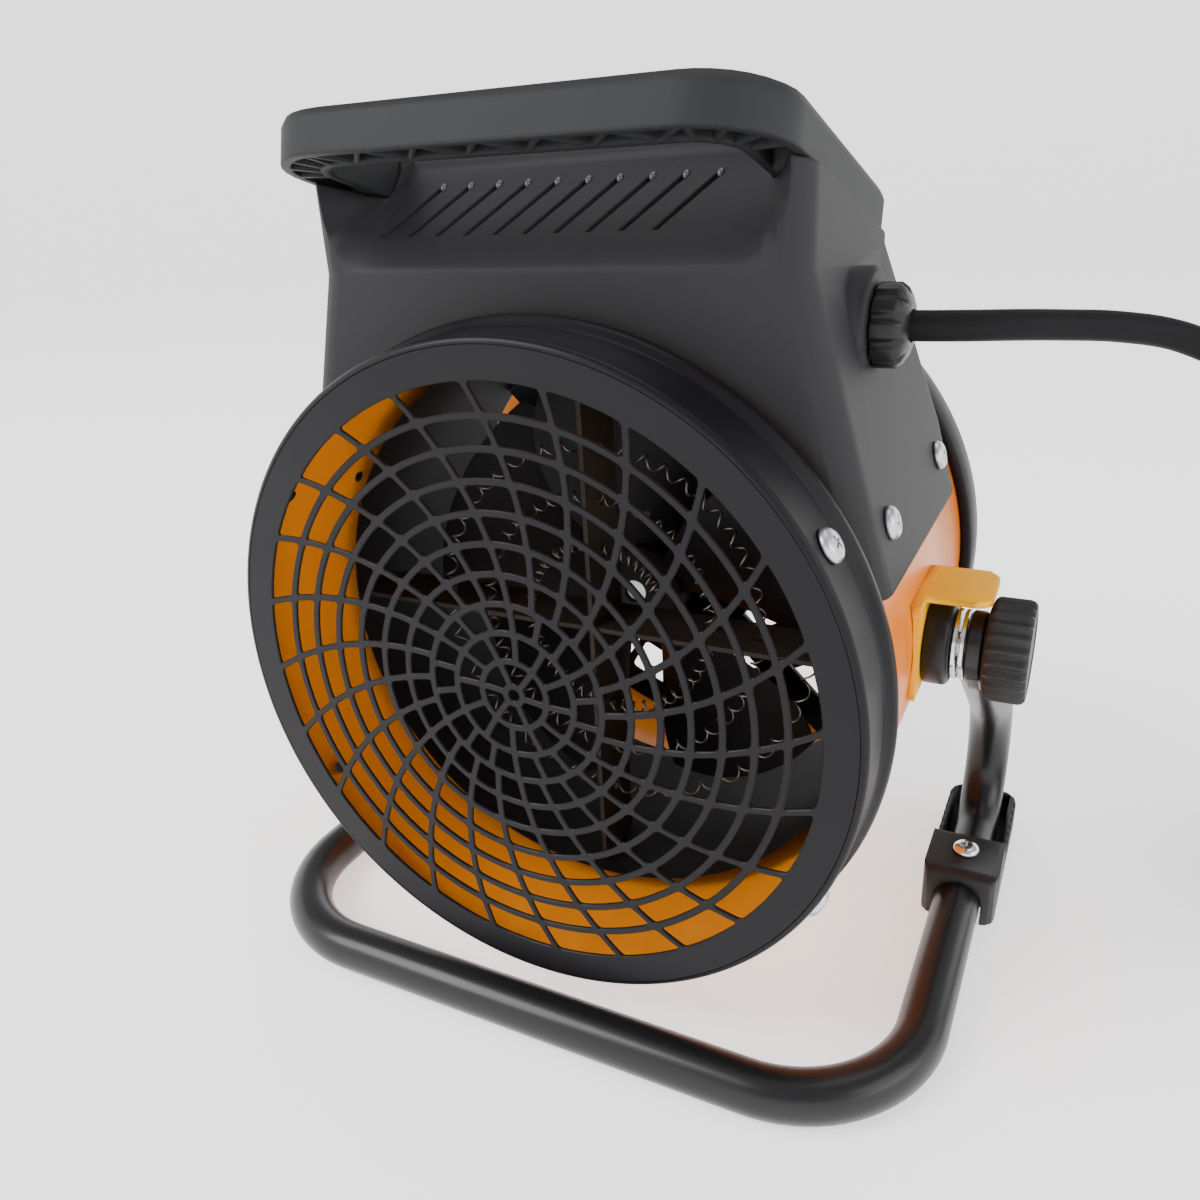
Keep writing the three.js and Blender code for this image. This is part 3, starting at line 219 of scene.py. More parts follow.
coil_in = coil_point(0)
free_route = [Vector(p) for p in (
    (75.6, -8, 217.1), (86, -8, 217.1), (97, -8, 217.1), (108, -5.2, 216.9), (119, 0.6, 216.4),
    (130, 8.6, 215.4), (144, 17.2, 213.9), (159, 25.4, 210.4), (174.4, 30.8, 202.6),
    (186.8, 33, 190.2), (195.6, 33.3, 174), (201, 32.7, 155), (203.1, 31.7, 135), (203.6, 31, 110),
    (204, 30.6, 85), (204, 31, 62), (204.2, 32, 40.2), (206.9, 32.9, 26.4), (214.7, 33.9, 14.7),
    (226.4, 34.8, 6.9), (238, 35.15, 4.2))]
cord_path = smooth_path(free_route + [coil_in + Vector((-cord_thick, 0, 0))], route_steps) + [coil_in]
covered = sum((b - a).length for a, b in zip(cord_path, cord_path[1:]))
turned = 0
while covered < cord_length - cord_thick:
    turned += 1 / coil_steps
    following = coil_point(turned)
    covered += (following - cord_path[-1]).length
    cord_path.append(following)
heading = (cord_path[-1] - cord_path[-2]).normalized()
cord_path.append(cord_path[-1] + heading * (cord_length - covered))

sheath = bpy.data.curves.new("mains_lead", "CURVE")
sheath.dimensions = "3D"
sheath.bevel_depth = cord_thick / 2 * MM
sheath.bevel_resolution = 5
sheath.use_fill_caps = True
line = sheath.splines.new("POLY")
line.points.add(len(cord_path) - 1)
for point, at in zip(line.points, cord_path):
    point.co = (*(at * MM), 1)

# The sheath becomes a mesh.
core = bpy.data.objects.new("core", sheath)
lead = bpy.data.objects.new("mains_lead", bpy.data.meshes.new_from_object(core))
bpy.data.objects.remove(core)
scene.collection.objects.link(lead)
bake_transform(lead)
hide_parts("mains_cord", "cord_coil")
rubber = Finish("rubber sheath", Base_Color=(0.010, 0.010, 0.011), Specular_IOR_Level=0.07)
rubber.fill(rubber.shader, {"Roughness": 0.42 + 0.18 * rubber.noise(90, 3)})
rubber.bump(rubber.noise(1400, 2), 0.00006)
rubber.on(lead, nodes["plug"])
[tuple(at * MM) for at in cord_path]

# ---------------------------------------------------------------------------
# A plain pale floor that rises to a low round wall, all in one sweep of paper, and soft studio light
# from the left, the right and above. Sizes here are in metres.
# ---------------------------------------------------------------------------
floor_reach = 3.0
wall_bend = 2.5
wall_steps = 12
floor_sides = 64
profile = [(0.01, 0), (floor_reach, 0)]
for k in range(1, wall_steps + 1):
    a = math.pi / 2 * k / wall_steps
    profile.append((floor_reach + wall_bend * math.sin(a), wall_bend - wall_bend * math.cos(a)))
floor_points = [(r * math.cos(2 * math.pi * k / floor_sides), r * math.sin(2 * math.pi * k / floor_sides), z)
                for r, z in profile for k in range(floor_sides)]
floor_faces = [tuple(range(floor_sides))]
for row in range(len(profile) - 1):
    low = row * floor_sides
    high = low + floor_sides
    for k in range(floor_sides):
        n = (k + 1) % floor_sides
        floor_faces.append((low + k, low + n, high + n, high + k))
floor_mesh = bpy.data.meshes.new("floor")
floor_mesh.from_pydata(floor_points, [], floor_faces)
floor_mesh.shade_smooth()
floor = bpy.data.objects.new("floor", floor_mesh)
scene.collection.objects.link(floor)
paper = Finish("pale paper", Base_Color=(0.93, 0.93, 0.93), Roughness=0.9, Specular_IOR_Level=0.1,
               Emission_Color=(1, 1, 1), Emission_Strength=1.0)
paper.on(floor)

scene.world = bpy.data.worlds.new("studio")
scene.world.use_nodes = True
sky = scene.world.node_tree.nodes["Background"]
sky.inputs["Color"].default_value = (1, 1, 1, 1)
sky.inputs["Strength"].default_value = 0.55


def soft_light(name, place, aim, size, power):
    lamp = bpy.data.lights.new(name, "AREA")
    lamp.size = size
    lamp.energy = power
    light = bpy.data.objects.new(name, lamp)
    scene.collection.objects.link(light)
    light.location = place
    light.rotation_euler = (Vector(aim) - Vector(place)).to_track_quat("-Z", "Y").to_euler()


soft_light("key", (-1.2, -1.3, 1.7), (0, 0, 0.12), 1.2, 52)
soft_light("fill", (2.0, -0.25, 1.1), (0, 0, 0.12), 1.4, 17)
soft_light("top", (0.1, 0.5, 1.8), (0, 0, 0.15), 1.2, 7)

# ---------------------------------------------------------------------------
# The front grille is one pressed sheet: a plain border, a web of 24 curved arms and ten rings, and a
# rim that turns back over the drum and ends in a raised bead. Black enamel with a soft sheen.
# ---------------------------------------------------------------------------
axis_height = 120.6
grille_radius = 103
grille_face = -80
sheet_thick = 1.2
edge_bend = 1.9
web_radius = 91.5
web_bar = 2.1
web_twist = math.radians(0.337)      # how far an arm swings round with each millimetre of radius
web_rows = 10
arm_count = 24
first_arm_angle = math.radians(147.2)
inner_rows = ((6, 40), (12, 6.9), (18, 3.5))      # arms, and the angle of the first one in degrees
ring_first = 10.9
ring_step = 8.94
hub_radius = 3.9
eye_radius = 1.8
web_corner = 1.3


class Form:
    """Collects the points and faces of a piece, in millimetres, before they become one mesh."""

    def __init__(self):
        self.points = []
        self.faces = []

    def loft(self, rings, around=False, caps=True):
        """A skin over rings with the same count of points; around joins the last ring to the first."""
        first = len(self.points)
        count = len(rings[0])
        for ring in rings:
            self.points.extend(Vector(p) for p in ring)
        spans = len(rings) if around else len(rings) - 1
        for r in range(spans):
            a = first + r * count
            b = first + (r + 1) % len(rings) * count
            for k in range(count):
                n = (k + 1) % count
                self.faces.append((a + k, a + n, b + n, b + k))
        if caps and not around:
            self.faces.append(tuple(range(first, first + count)))
            self.faces.append(tuple(range(first + (len(rings) - 1) * count, first + len(rings) * count)))
        return self

    def lathe(self, outline, steps, place=None):
        """A closed outline of (radius, y) turned about Y, then placed by a matrix."""
        place = place or Matrix()
        angles = [2 * math.pi * k / steps for k in range(steps)]
        return self.loft([[place @ Vector((r * math.sin(a), y, r * math.cos(a))) for r, y in outline]
                          for a in angles], around=True)

    def mesh(self, name, lift=0.0, sharp=35, flip=False):
        """The mesh in metres, raised by a lift in millimetres, and mirrored to the left with flip."""
        mesh = bpy.data.meshes.new(name)
        side = -1 if flip else 1
        points = [(side * p.x * MM, p.y * MM, (p.z + lift) * MM) for p in self.points]
        mesh.from_pydata(points, [], self.faces)
        return tidied(mesh, sharp)


def tidied(mesh, sharp=35):
    """Joins doubled points, turns the faces outward and keeps only the sharper edges hard."""
    form = bmesh.new()
    form.from_mesh(mesh)
    bmesh.ops.remove_doubles(form, verts=form.verts, dist=2e-6)
    bmesh.ops.dissolve_degenerate(form, edges=form.edges, dist=1e-7)
    bmesh.ops.recalc_face_normals(form, faces=form.faces)
    form.to_mesh(mesh)
    form.free()
    mesh.polygons.foreach_set("use_smooth", [True] * len(mesh.polygons))
    mesh.set_sharp_from_angle(angle=math.radians(sharp))
    return mesh


def rounded(outline, radius):
    """The outline of (u, v, corner) points as (u, v), with each marked corner cut to a small curve."""
    steps = 3
    out = []
    for k, (u, v, corner) in enumerate(outline):
        here = Vector((u, v))
        if not corner:
            out.append(tuple(here))
            continue
        ways = [Vector(outline[n][:2]) - here for n in (k - 1, (k + 1) % len(outline))]
        enter, leave = [here + way.normalized() * min(radius, way.length * 0.48) for way in ways]
        for i in range(steps + 1):
            t = i / steps
            out.append(tuple(enter.lerp(here, t).lerp(here.lerp(leave, t), t)))
    return out


def web_cell(inner, outer, start, span):
    """The outline of one opening between two rings and two arms, in x and z."""

    def half(r):
        return web_bar / 2 / r

    def low(r):
        return start - web_twist * r + half(r)

    def high(r):
        return start - web_twist * r + span - half(r)

    arcs = max(3, round(span / math.radians(4)))
    sides = 3
    between = [outer + (inner - outer) * i / sides for i in range(1, sides)]
    points = [(outer, low(outer) + (span - 2 * half(outer)) * i / arcs, i in (0, arcs))
              for i in range(arcs + 1)]
    points += [(r, high(r), False) for r in between]
    points += [(inner, high(inner) - (span - 2 * half(inner)) * i / arcs, i in (0, arcs))
               for i in range(arcs + 1)]
    points += [(r, low(r), False) for r in reversed(between)]
    return rounded([(r * math.sin(a), r * math.cos(a), corner) for r, a, corner in points], web_corner)


def circle(radius, count):
    return [(radius * math.cos(2 * math.pi * k / count), radius * math.sin(2 * math.pi * k / count))
            for k in range(count)]


def shifted(points, amount):
    """The closed outline moved sideways by an amount, to the left of its direction."""
    out = []
    for before, here, after in zip(points[-1:] + points[:-1], points, points[1:] + points[:1]):
        come = (Vector(here) - Vector(before)).normalized()
        leave = (Vector(after) - Vector(here)).normalized()
        normal = Vector((-come.y - leave.y, come.x + leave.x)).normalized()
        out.append(tuple(Vector(here) + normal * amount / max(0.5, normal.dot(Vector((-come.y, come.x))))))
    return out


def sheet(name, border, holes, thickness, edge):
    """The mesh of a flat sheet in X and Z about y = 0, with holes and softened edges."""
    form = Form()
    half = thickness / 2
    outlines = []
    for points, way in [(border, 1), *[(hole, -1) for hole in holes]]:
        area = sum(a[0] * b[1] - b[0] * a[1] for a, b in zip(points, points[1:] + points[:1]))
        ordered = points if area * way > 0 else points[::-1]
        inset = shifted(ordered, edge)
        outlines.append((len(form.points), inset))
        form.loft([[(x, -half, z) for x, z in inset], [(x, -half + edge, z) for x, z in ordered],
                   [(x, half - edge, z) for x, z in ordered], [(x, half, z) for x, z in inset]], caps=False)
    triangles = tessellate_polygon([[Vector((x, z, 0)) for x, z in inset] for _, inset in outlines])
    for ring in (0, 3):
        index = [start + ring * len(inset) + k for start, inset in outlines for k in range(len(inset))]
        form.faces.extend(tuple(index[k] for k in triangle) for triangle in triangles)
    return form.mesh(name)


def joined(name, *meshes, sharp):
    """One mesh from several."""
    form = bmesh.new()
    for mesh in meshes:
        form.from_mesh(mesh)
    whole = bpy.data.meshes.new(name)
    form.to_mesh(whole)
    form.free()
    return tidied(whole, sharp)


cells = []
for row in range(web_rows):
    inner = ring_first + (row - 1) * ring_step + web_bar / 2 if row else hub_radius
    outer = ring_first + row * ring_step - web_bar / 2 if row < web_rows - 1 else web_radius
    if row < len(inner_rows):
        count, degrees = inner_rows[row]
        first_arm = math.radians(degrees) + web_twist * (inner + outer) / 2
    else:
        count = arm_count
        first_arm = first_arm_angle + web_twist * (web_radius - ring_step / 2)
    for k in range(count):
        cells.append(web_cell(inner, outer, first_arm + k * 2 * math.pi / count, 2 * math.pi / count))
cells.append(circle(eye_radius, 16))
web = sheet("web", circle(grille_radius - edge_bend, 192), cells, sheet_thick, 0.3)
web.transform(Matrix.Translation((0, (grille_face + sheet_thick / 2) * MM, axis_height * MM)))

turned_edge = [(grille_radius - edge_bend * (1 - math.sin(a)), grille_face + edge_bend * (1 - math.cos(a)))
               for a in (math.pi / 2 * k / 6 for k in range(7))]
rim_back = grille_face + 23.2
bead = [(grille_radius + out, rim_back - forward) for out, forward in (
    (0, 5.6), (0.5, 4.6), (1.7, 3.7), (2.3, 2.9), (2.6, 1.9), (2.6, 0.5), (2.3, 0), (1.8, 0), (1.5, 2.2),
    (-0.4, 4.4), (-0.9, 5.2))]
rim = Form().lathe([*turned_edge, *bead, (grille_radius - 0.9, grille_face + 2.2),
                    (grille_radius - 2.0, grille_face + sheet_thick)], 192)
grille = bare("grille_web", joined("grille_web", web, rim.mesh("rim", axis_height, 40), sharp=40),
              "heater", "black_enamel", "front_grille")
enamel = Finish("black enamel", Base_Color=(0.0065, 0.0055, 0.0070), Specular_IOR_Level=0.14,
                Coat_Weight=0.05, Coat_Roughness=0.22)
enamel.fill(enamel.shader, {"Roughness": 0.33 + 0.14 * enamel.noise(60, 4)})
enamel.bump(enamel.noise(420, 2), 0.00003, 0.5)
enamel.on(grille)

# ---------------------------------------------------------------------------
# The drum is a rolled steel shell, enamelled orange inside and out. Its inner face has a lighter, yellower
# orange than the outside: painted light, for the light that falls in through the grille.
# ---------------------------------------------------------------------------
drum_outer = 101.6
drum_inner = 100.6
drum_front = -78.5
drum_back = 90
drum = bare("drum_skin", Form().lathe([
    (drum_outer - 0.1, drum_front), (drum_outer, drum_front + 0.2), (drum_outer, drum_back - 0.2),
    (drum_outer - 0.1, drum_back), (drum_inner + 0.1, drum_back), (drum_inner, drum_back - 0.2),
    (drum_inner, drum_front + 0.2), (drum_inner + 0.1, drum_front)], 192)
            .mesh("drum_skin", axis_height, 50), "heater", "orange_enamel", "drum_shell")
orange = Finish("orange enamel", Roughness=0.36, Specular_IOR_Level=0.3, Coat_Weight=0.12,
                Coat_Roughness=0.12)
across = orange.node("ShaderNodeSeparateXYZ", Vector=orange.place)
upward = orange.node("ShaderNodeSeparateXYZ", output=2, Vector=orange.place) - axis_height * MM
# Painted light: the inner face of the drum gets a lighter, yellower base colour, for the light falling in
# through the grille.
inside = (across * across + upward * upward) ** 0.5 < (drum_outer + drum_inner) / 2 * MM
paint = orange.mix(orange.noise(14, 4), (0.74, 0.175, 0.002), (0.80, 0.205, 0.004))
orange.fill(orange.shader, {"Base_Color": orange.mix(inside, paint, (0.98, 0.31, 0.006))})
orange.bump(orange.noise(380, 2), 0.00003, 0.5)
orange.on(drum)

# ---------------------------------------------------------------------------
# The back guard is a pressed steel cup that fits over the drum's back edge, enamelled black like the
# grille. Four rows of curved air slots are punched round its plain middle.
# ---------------------------------------------------------------------------
guard_back = 94
guard_radius = 105.4
guard_bend = 5
plate_radius = 98
slot_rows = 4
slot_first = 18
slot_pitch = 19
slot_depth = 15.8
slot_bar = 3.2
slot_corner = 2.2
slots = []
for row in range(slot_rows):
    inner = slot_first + row * slot_pitch
    outer = inner + slot_depth
    count = 6 + row * 3
    for k in range(count):
        low = 2 * math.pi * k / count
        high = low + 2 * math.pi / count - slot_bar / inner
        steps = max(4, round((high - low) / math.radians(5)))
        arc = [(outer, low + (high - low) * i / steps, i in (0, steps)) for i in range(steps + 1)]
        arc += [(inner, high - (high - low) * i / steps, i in (0, steps)) for i in range(steps + 1)]
        slots.append(rounded([(r * math.cos(a), r * math.sin(a), corner) for r, a, corner in arc],
                             slot_corner))
guard_plate = sheet("guard_plate", circle(plate_radius, 128), slots, sheet_thick, 0.25)
guard_plate.transform(Matrix.Translation((0, (guard_back - sheet_thick / 2) * MM, axis_height * MM)))
guard_edge = [(guard_radius - guard_bend * (1 - math.cos(a)), guard_back - guard_bend * (1 - math.sin(a)))
              for a in (math.pi / 2 * k / 7 for k in range(8))]
cup = Form().lathe([
    (101.9, 72.6), (102.1, 72.4), (104.6, 72.4), (guard_radius, 73.2), *guard_edge,
    (plate_radius - 0.1, guard_back), (plate_radius - 0.1, guard_back - sheet_thick), (101, 92.8),
    (103.6, 91.2), (104.2, 88.6), (104.2, 74.2), (103.6, 73.6), (101.9, 73.6)], 160)
guard = bare("guard_cup", joined("guard_cup", guard_plate, cup.mesh("cup", axis_height, 50), sharp=50),
             "heater", "black_enamel", "back_guard")
enamel.on(guard)

# ---------------------------------------------------------------------------
# The stand is one bent steel tube, 16 mm thick: a front bar, two legs on the floor, two heels and
# two arms, whose ends are pressed flat round the pivot bolts. Its black enamel is a little glossier.
# ---------------------------------------------------------------------------
tube_radius = 8
stand_x = 117.8
stand_front = -88
stand_corner = 43.6
heel_y = 88
heel_radius = 25
arm_radius = 40
eye_half_thick = 2.3
eye_half_wide = 11
eye_square = 0.12       # how square the pressed section is: 1 is an oval, 0 a flat bar
eye_reach = 14
eye_blend = 12
bolt_hole = 4.3
elbow_z = tube_radius + heel_radius + 0.35
arm_lean = math.atan2(axis_height - elbow_z, heel_y - arm_radius) - math.asin(
    arm_radius / math.hypot(axis_height - elbow_z, heel_y - arm_radius))
arm_turn = math.pi / 2 - arm_lean
arm_drop = Vector((0, math.cos(arm_lean), -math.sin(arm_lean)))
arm_normal = Vector((0, math.sin(arm_lean), math.cos(arm_lean)))
pivot = Vector((stand_x, 0, axis_height))
elbow_start = pivot + arm_drop * (heel_y / math.cos(arm_lean) - arm_radius * math.tan(arm_turn / 2))
X, Y, Z = Vector((1, 0, 0)), Vector((0, 1, 0)), Vector((0, 0, 1))


def bend(centre, u, v, radius, angle, steps):
    """Places and directions along an arc that starts at centre - v and heads along u."""
    out = []
    for k in range(1, steps + 1):
        a = angle * k / steps
        out.append((centre + u * radius * math.sin(a) - v * radius * math.cos(a),
                    u * math.cos(a) + v * math.sin(a)))
    return out


def oval(at, side, lift, side_half, lift_half, square):
    """A section of the tube, from an oval at square = 1 to a flat bar near 0."""
    facets = 32
    out = []
    for k in range(facets):
        a = 2 * math.pi * (k + 0.5) / facets
        u = math.copysign(abs(math.cos(a)) ** square, math.cos(a))
        out.append(at + side * side_half * u + lift * lift_half * math.sin(a))
    return out


half_route = [(elbow_start, arm_drop)]
half_route += bend(elbow_start - arm_normal * arm_radius, arm_drop, -arm_normal, arm_radius, arm_turn, 14)
half_route += bend(Vector((stand_x, heel_y - heel_radius, tube_radius + heel_radius)), -Z, -Y, heel_radius,
                   math.pi / 2, 16)
half_route += bend(Vector((stand_x - stand_corner, stand_front + stand_corner, tube_radius)), -Y, -X,
                   stand_corner, math.pi / 2, 20)
arm_lift = arm_drop.cross(X)
rings = [oval(pivot + arm_drop * eye_reach * share, X, arm_lift, eye_half_thick, eye_half_wide, eye_square)
         for share in (0, 0.5, 1)]
for k in range(1, 9):
    t = k / 8
    ease = t * t * (3 - 2 * t)
    rings.append(oval(pivot + arm_drop * (eye_reach + eye_blend * t), X, arm_lift,
                      eye_half_thick + (tube_radius - eye_half_thick) * ease,
                      eye_half_wide + (tube_radius - eye_half_wide) * ease,
                      eye_square + (1 - eye_square) * ease ** 0.6))
for at, along in half_route:
    side = X if abs(along.z) > 0.01 else Z.cross(along).normalized()
    rings.append(oval(at, side, along.cross(side).normalized(), tube_radius, tube_radius, 1))
mirrored = [[Vector((-p.x, p.y, p.z)) for p in ring] for ring in reversed(rings)]
tube = Form().loft(rings + mirrored, caps=False)
for side in (1, -1):
    tube.lathe([(bolt_hole, -eye_half_thick), (10.4, -eye_half_thick), (11, -1.7), (11, 1.7),
                (10.4, eye_half_thick), (bolt_hole, eye_half_thick)], 48,
               Matrix.Translation((side * stand_x, 0, axis_height)) @ Matrix.Rotation(math.pi / 2, 4, "Z"))
stand = bare("stand_frame", tube.mesh("stand_frame", 0, 40), "stand", "black_enamel", "stand_tube")
gloss = Finish("black stand enamel", Base_Color=(0.007, 0.007, 0.008), Specular_IOR_Level=0.3,
               Coat_Weight=0.16, Coat_Roughness=0.15)
gloss.fill(gloss.shader, {"Roughness": 0.28 + 0.12 * gloss.noise(40, 3)})
gloss.bump(gloss.noise(500, 2), 0.00002, 0.4)
gloss.on(stand)

# ---------------------------------------------------------------------------
# Inside the drum stands a dark heat shield, a cylinder whose back edge flares out to the drum, with
# two crossed mica boards in it. The heating wire is a fine helix that winds outward through them.
# ---------------------------------------------------------------------------
shield_outer = 94
shield_inner = 93.2
shield_front = -35
shield_back = 48
flare_radius = 100.3
shield = bare("shield_skin", Form().lathe([
    (shield_inner, shield_front), (shield_outer, shield_front), (shield_outer, shield_back - 1),
    (shield_outer + 0.4, shield_back - 0.8), (flare_radius, shield_back - 0.8), (flare_radius, shield_back),
    (shield_inner + 0.4, shield_back), (shield_inner, shield_back - 0.5)], 144)
              .mesh("shield_skin", axis_height, 50), "heater", "shield_black", "heat_shield")
heat_black = Finish("heat-proof black", Roughness=0.7, Specular_IOR_Level=0.1)
heat_black.fill(heat_black.shader, {"Base_Color": heat_black.mix(
    heat_black.noise(22, 4), (0.006, 0.006, 0.0064), (0.011, 0.0105, 0.0105))})
heat_black.on(shield)

spiral_turns = 3
spiral_inner = 22
spiral_outer = 73
spiral_y = -19
wind_count = 150
wind_steps = 10
wind_radius = 1.95
wire_radius = 0.35
wound = []
for k in range(wind_count * wind_steps + 1):
    t = k / (wind_count * wind_steps)
    a = t * 2 * spiral_turns * math.pi + 0.4
    b = 2 * math.pi * k / wind_steps
    r = spiral_inner + (spiral_outer - spiral_inner) * t + wind_radius * math.cos(b)
    wound.append((r * math.cos(a), spiral_y + wind_radius * math.sin(b), r * math.sin(a) + axis_height))
coil_wire = bpy.data.curves.new("wound_wire", "CURVE")
coil_wire.dimensions = "3D"
coil_wire.bevel_depth = 1
coil_wire.bevel_resolution = 2
wire_line = coil_wire.splines.new("POLY")
wire_line.points.add(len(wound) - 1)
for point, at in zip(wire_line.points, wound):
    point.co = (*(v * MM for v in at), 1)
    point.radius = wire_radius * MM
wire_piece = bare("wound_wire", coil_wire, "heater", "zinc_steel", "heating_coil")
resistance = Finish("heating wire", Base_Color=(0.20, 0.19, 0.18), Metallic=1.0)
resistance.fill(resistance.shader, {"Roughness": 0.30 + 0.16 * resistance.noise(200, 3)})
resistance.on(wire_piece)

mica = Finish("mica board", Roughness=0.6, Specular_IOR_Level=0.15)
mica.fill(mica.shader, {"Base_Color": mica.mix(
    mica.noise(60, 5), (0.018, 0.017, 0.016), (0.040, 0.034, 0.027))})
mica.bump(mica.noise(500, 3), 0.00008)
mica.on(nodes["element_frame"], nodes["thermostat_switch"], nodes["selector_switch"],
        nodes["terminal_block"])

# ---------------------------------------------------------------------------
# Behind the element turns a fan on the motor's shaft, a black moulding of a hub and five wide blades
# that flatten towards their tips. The motor sits in a bracket of four legs that reach to the shield.
# ---------------------------------------------------------------------------
blade_count = 5
blade_sections = 12
blade_root = 15
blade_length = 67
blade_middle = 12
blade_half_thick = 0.45
blade_camber = 2.4
blade_sweep = 0.10
root_chord = 22
chord_gain = 62
tip_trim = 6
root_pitch = 42         # degrees out of the plane of the fan
pitch_fall = 26
shaft_hole = 4.3
fan_form = Form()
for blade in range(blade_count):
    spin = Matrix.Rotation(2 * math.pi * blade / blade_count, 4, "Y")
    rings = []
    for section in range(blade_sections + 1):
        t = section / blade_sections
        r = blade_root + blade_length * t
        swell = math.sin(min(1, t * 1.1) * math.pi / 2)
        chord = root_chord + chord_gain * swell - tip_trim * (max(0, t - 0.8) / 0.2) ** 2
        pitch = math.radians(root_pitch - pitch_fall * t)
        ring = []
        for j in range(16):
            u = -0.5 + min(j, 16 - j) / 8
            v = -blade_camber * (1 - 4 * u * u) + blade_half_thick * ((0 < j < 8) - (j > 8))
            way_round = u * chord * math.cos(pitch) - v * math.sin(pitch)
            deep = u * chord * math.sin(pitch) + v * math.cos(pitch)
            angle = way_round / r + blade_sweep * t * t
            ring.append(spin @ Vector((r * math.sin(angle), blade_middle + deep, r * math.cos(angle))))
        rings.append(ring)
    fan_form.loft(rings)
fan_form.lathe([(shaft_hole, 4.4), (15.4, 4), (17, 5.6), (17, 20), (16, 20), (shaft_hole, 20)], 64)
fan = bare("fan_wheel", fan_form.mesh("fan_wheel", axis_height, 40), "fan", "dark_steel", "fan")
fan_black = Finish("fan plastic", Base_Color=(0.011, 0.011, 0.012), Roughness=0.45, Specular_IOR_Level=0.15)
fan_black.bump(fan_black.noise(300, 2), 0.00002)
fan_black.on(fan)

motor = bare("motor_case", Form().lathe(
    [(shaft_hole, 36.3), (9.6, 36.3), (10.4, 37), (10.8, 38.6), (12, 39), (27, 39), (29.4, 39.8), (31, 42),
     (31, 54), (30.5, 54.5), (30.5, 58), (31, 58.5), (31, 75), (29.6, 77.4), (27, 78), (shaft_hole, 78)], 72)
    .mesh("motor_case", axis_height, 30), "heater", "dark_steel", "fan_motor")
motor_grey = Finish("motor casing", Roughness=0.45, Metallic=0.5)
motor_grey.fill(motor_grey.shader, {"Base_Color": motor_grey.mix(
    motor_grey.noise(30, 3), (0.030, 0.031, 0.033), (0.055, 0.056, 0.060))})
motor_grey.on(motor, nodes["motor_bracket"])
zinc = Finish("zinc plate", Metallic=1.0)
zinc_shade = zinc.noise(120, 4)
zinc.fill(zinc.shader, {"Base_Color": zinc.mix(zinc_shade, (0.50, 0.51, 0.53), (0.68, 0.69, 0.71)),
                        "Roughness": 0.24 + 0.2 * zinc_shade})
zinc.bump(zinc.noise(900, 2), 0.00002)
zinc.on(nodes["motor_shaft"], nodes["plug_pin_1"], nodes["plug_pin_2"])
brass = Finish("brass", Base_Color=(0.62, 0.43, 0.15), Metallic=1.0, Roughness=0.3)
brass.bump(brass.noise(700, 2), 0.00002)
brass.on(nodes["thermostat_stem"], nodes["selector_stem"], nodes["thermal_cutout"])

# ---------------------------------------------------------------------------
# The housing and the lid with its handle are charcoal mouldings with a fine spark texture. Their
# edges are rounded, and a thin dark joint runs between them.
# ---------------------------------------------------------------------------


def carried(name, node, body, slot, sharp=30):
    """A smoothly shaded copy of a CAD node that takes the node's place."""
    mesh = nodes[node].data.copy()
    mesh.materials.clear()
    piece = bare(name, tidied(mesh, sharp), body, slot, node)
    weighted = piece.modifiers.new("weighted", "WEIGHTED_NORMAL")
    weighted.keep_sharp = True
    return piece


def moulded(name, dark, light, rough, grain, edge):
    """A moulded plastic: spark texture, a soft wear of the sheen and edges rounded by edge mm."""
    finish = Finish(name, Specular_IOR_Level=0.26)
    cloud = finish.noise(9, 5)
    finish.fill(finish.shader, {"Base_Color": finish.mix(cloud, dark, light),
                                "Roughness": rough + 0.12 * cloud})
    finish.bump(finish.noise(grain, 2), 0.000045, 0.6,
                Normal=finish.node("ShaderNodeBevel", {"samples": 4}, Radius=edge * MM))
    return finish


housing = carried("housing_moulding", "top_housing", "heater", "black_plastic", 22)
lid = carried("handle_moulding", "handle_lid", "heater", "black_plastic", 22)
charcoal = moulded("charcoal plastic", (0.011, 0.011, 0.0125), (0.016, 0.016, 0.018), 0.54, 900, 1.2)
charcoal.on(housing)
handle_black = moulded("handle plastic", (0.011, 0.0115, 0.0125), (0.015, 0.0155, 0.017), 0.56, 900, 1.6)
handle_black.on(lid)

# ---------------------------------------------------------------------------
# Ten slanted louvres are cut in the panel under the handle. Each ends at the top in a small glossy
# nib of the same plastic, which catches the light. The nibs' paler base colour is a painted highlight.
# ---------------------------------------------------------------------------
louvre_count = 10
louvre_first_x = -44.5
louvre_span = 89
louvre_middle = (-24.5, 117.5)
louvre_slope = math.atan2(24.5, 33)
louvre_reach = 27.5
nib_radius = 0.95
nib_half = 1.6
nib_line = [(0, -nib_half)] + [(nib_radius * math.cos(a), nib_half * math.sin(a)) for a in
                               (math.radians(v) for v in range(-75, 90, 15))] + [(0, nib_half)]
nib_form = Form()
for k in range(louvre_count):
    nib_spot = Matrix.Translation((louvre_first_x + k * louvre_span / (louvre_count - 1), louvre_middle[0],
                                   louvre_middle[1] + louvre_reach * math.tan(louvre_slope)))
    nib_form.lathe(nib_line, 16, nib_spot @ Matrix.Rotation(louvre_slope, 4, "X"))
nibs = bare("louvre_nibs", nib_form.mesh("louvre_nibs", axis_height, 60), "heater", "black_plastic")
# The nibs' gloss is real. Their base colour is paler than the housing's charcoal, and that paler colour is a
# painted highlight.
shiny = Finish("polished charcoal", Base_Color=(0.06, 0.06, 0.065), Roughness=0.14)
shiny.bump(shiny.noise(500, 2), 0.00001)
shiny.on(nibs)

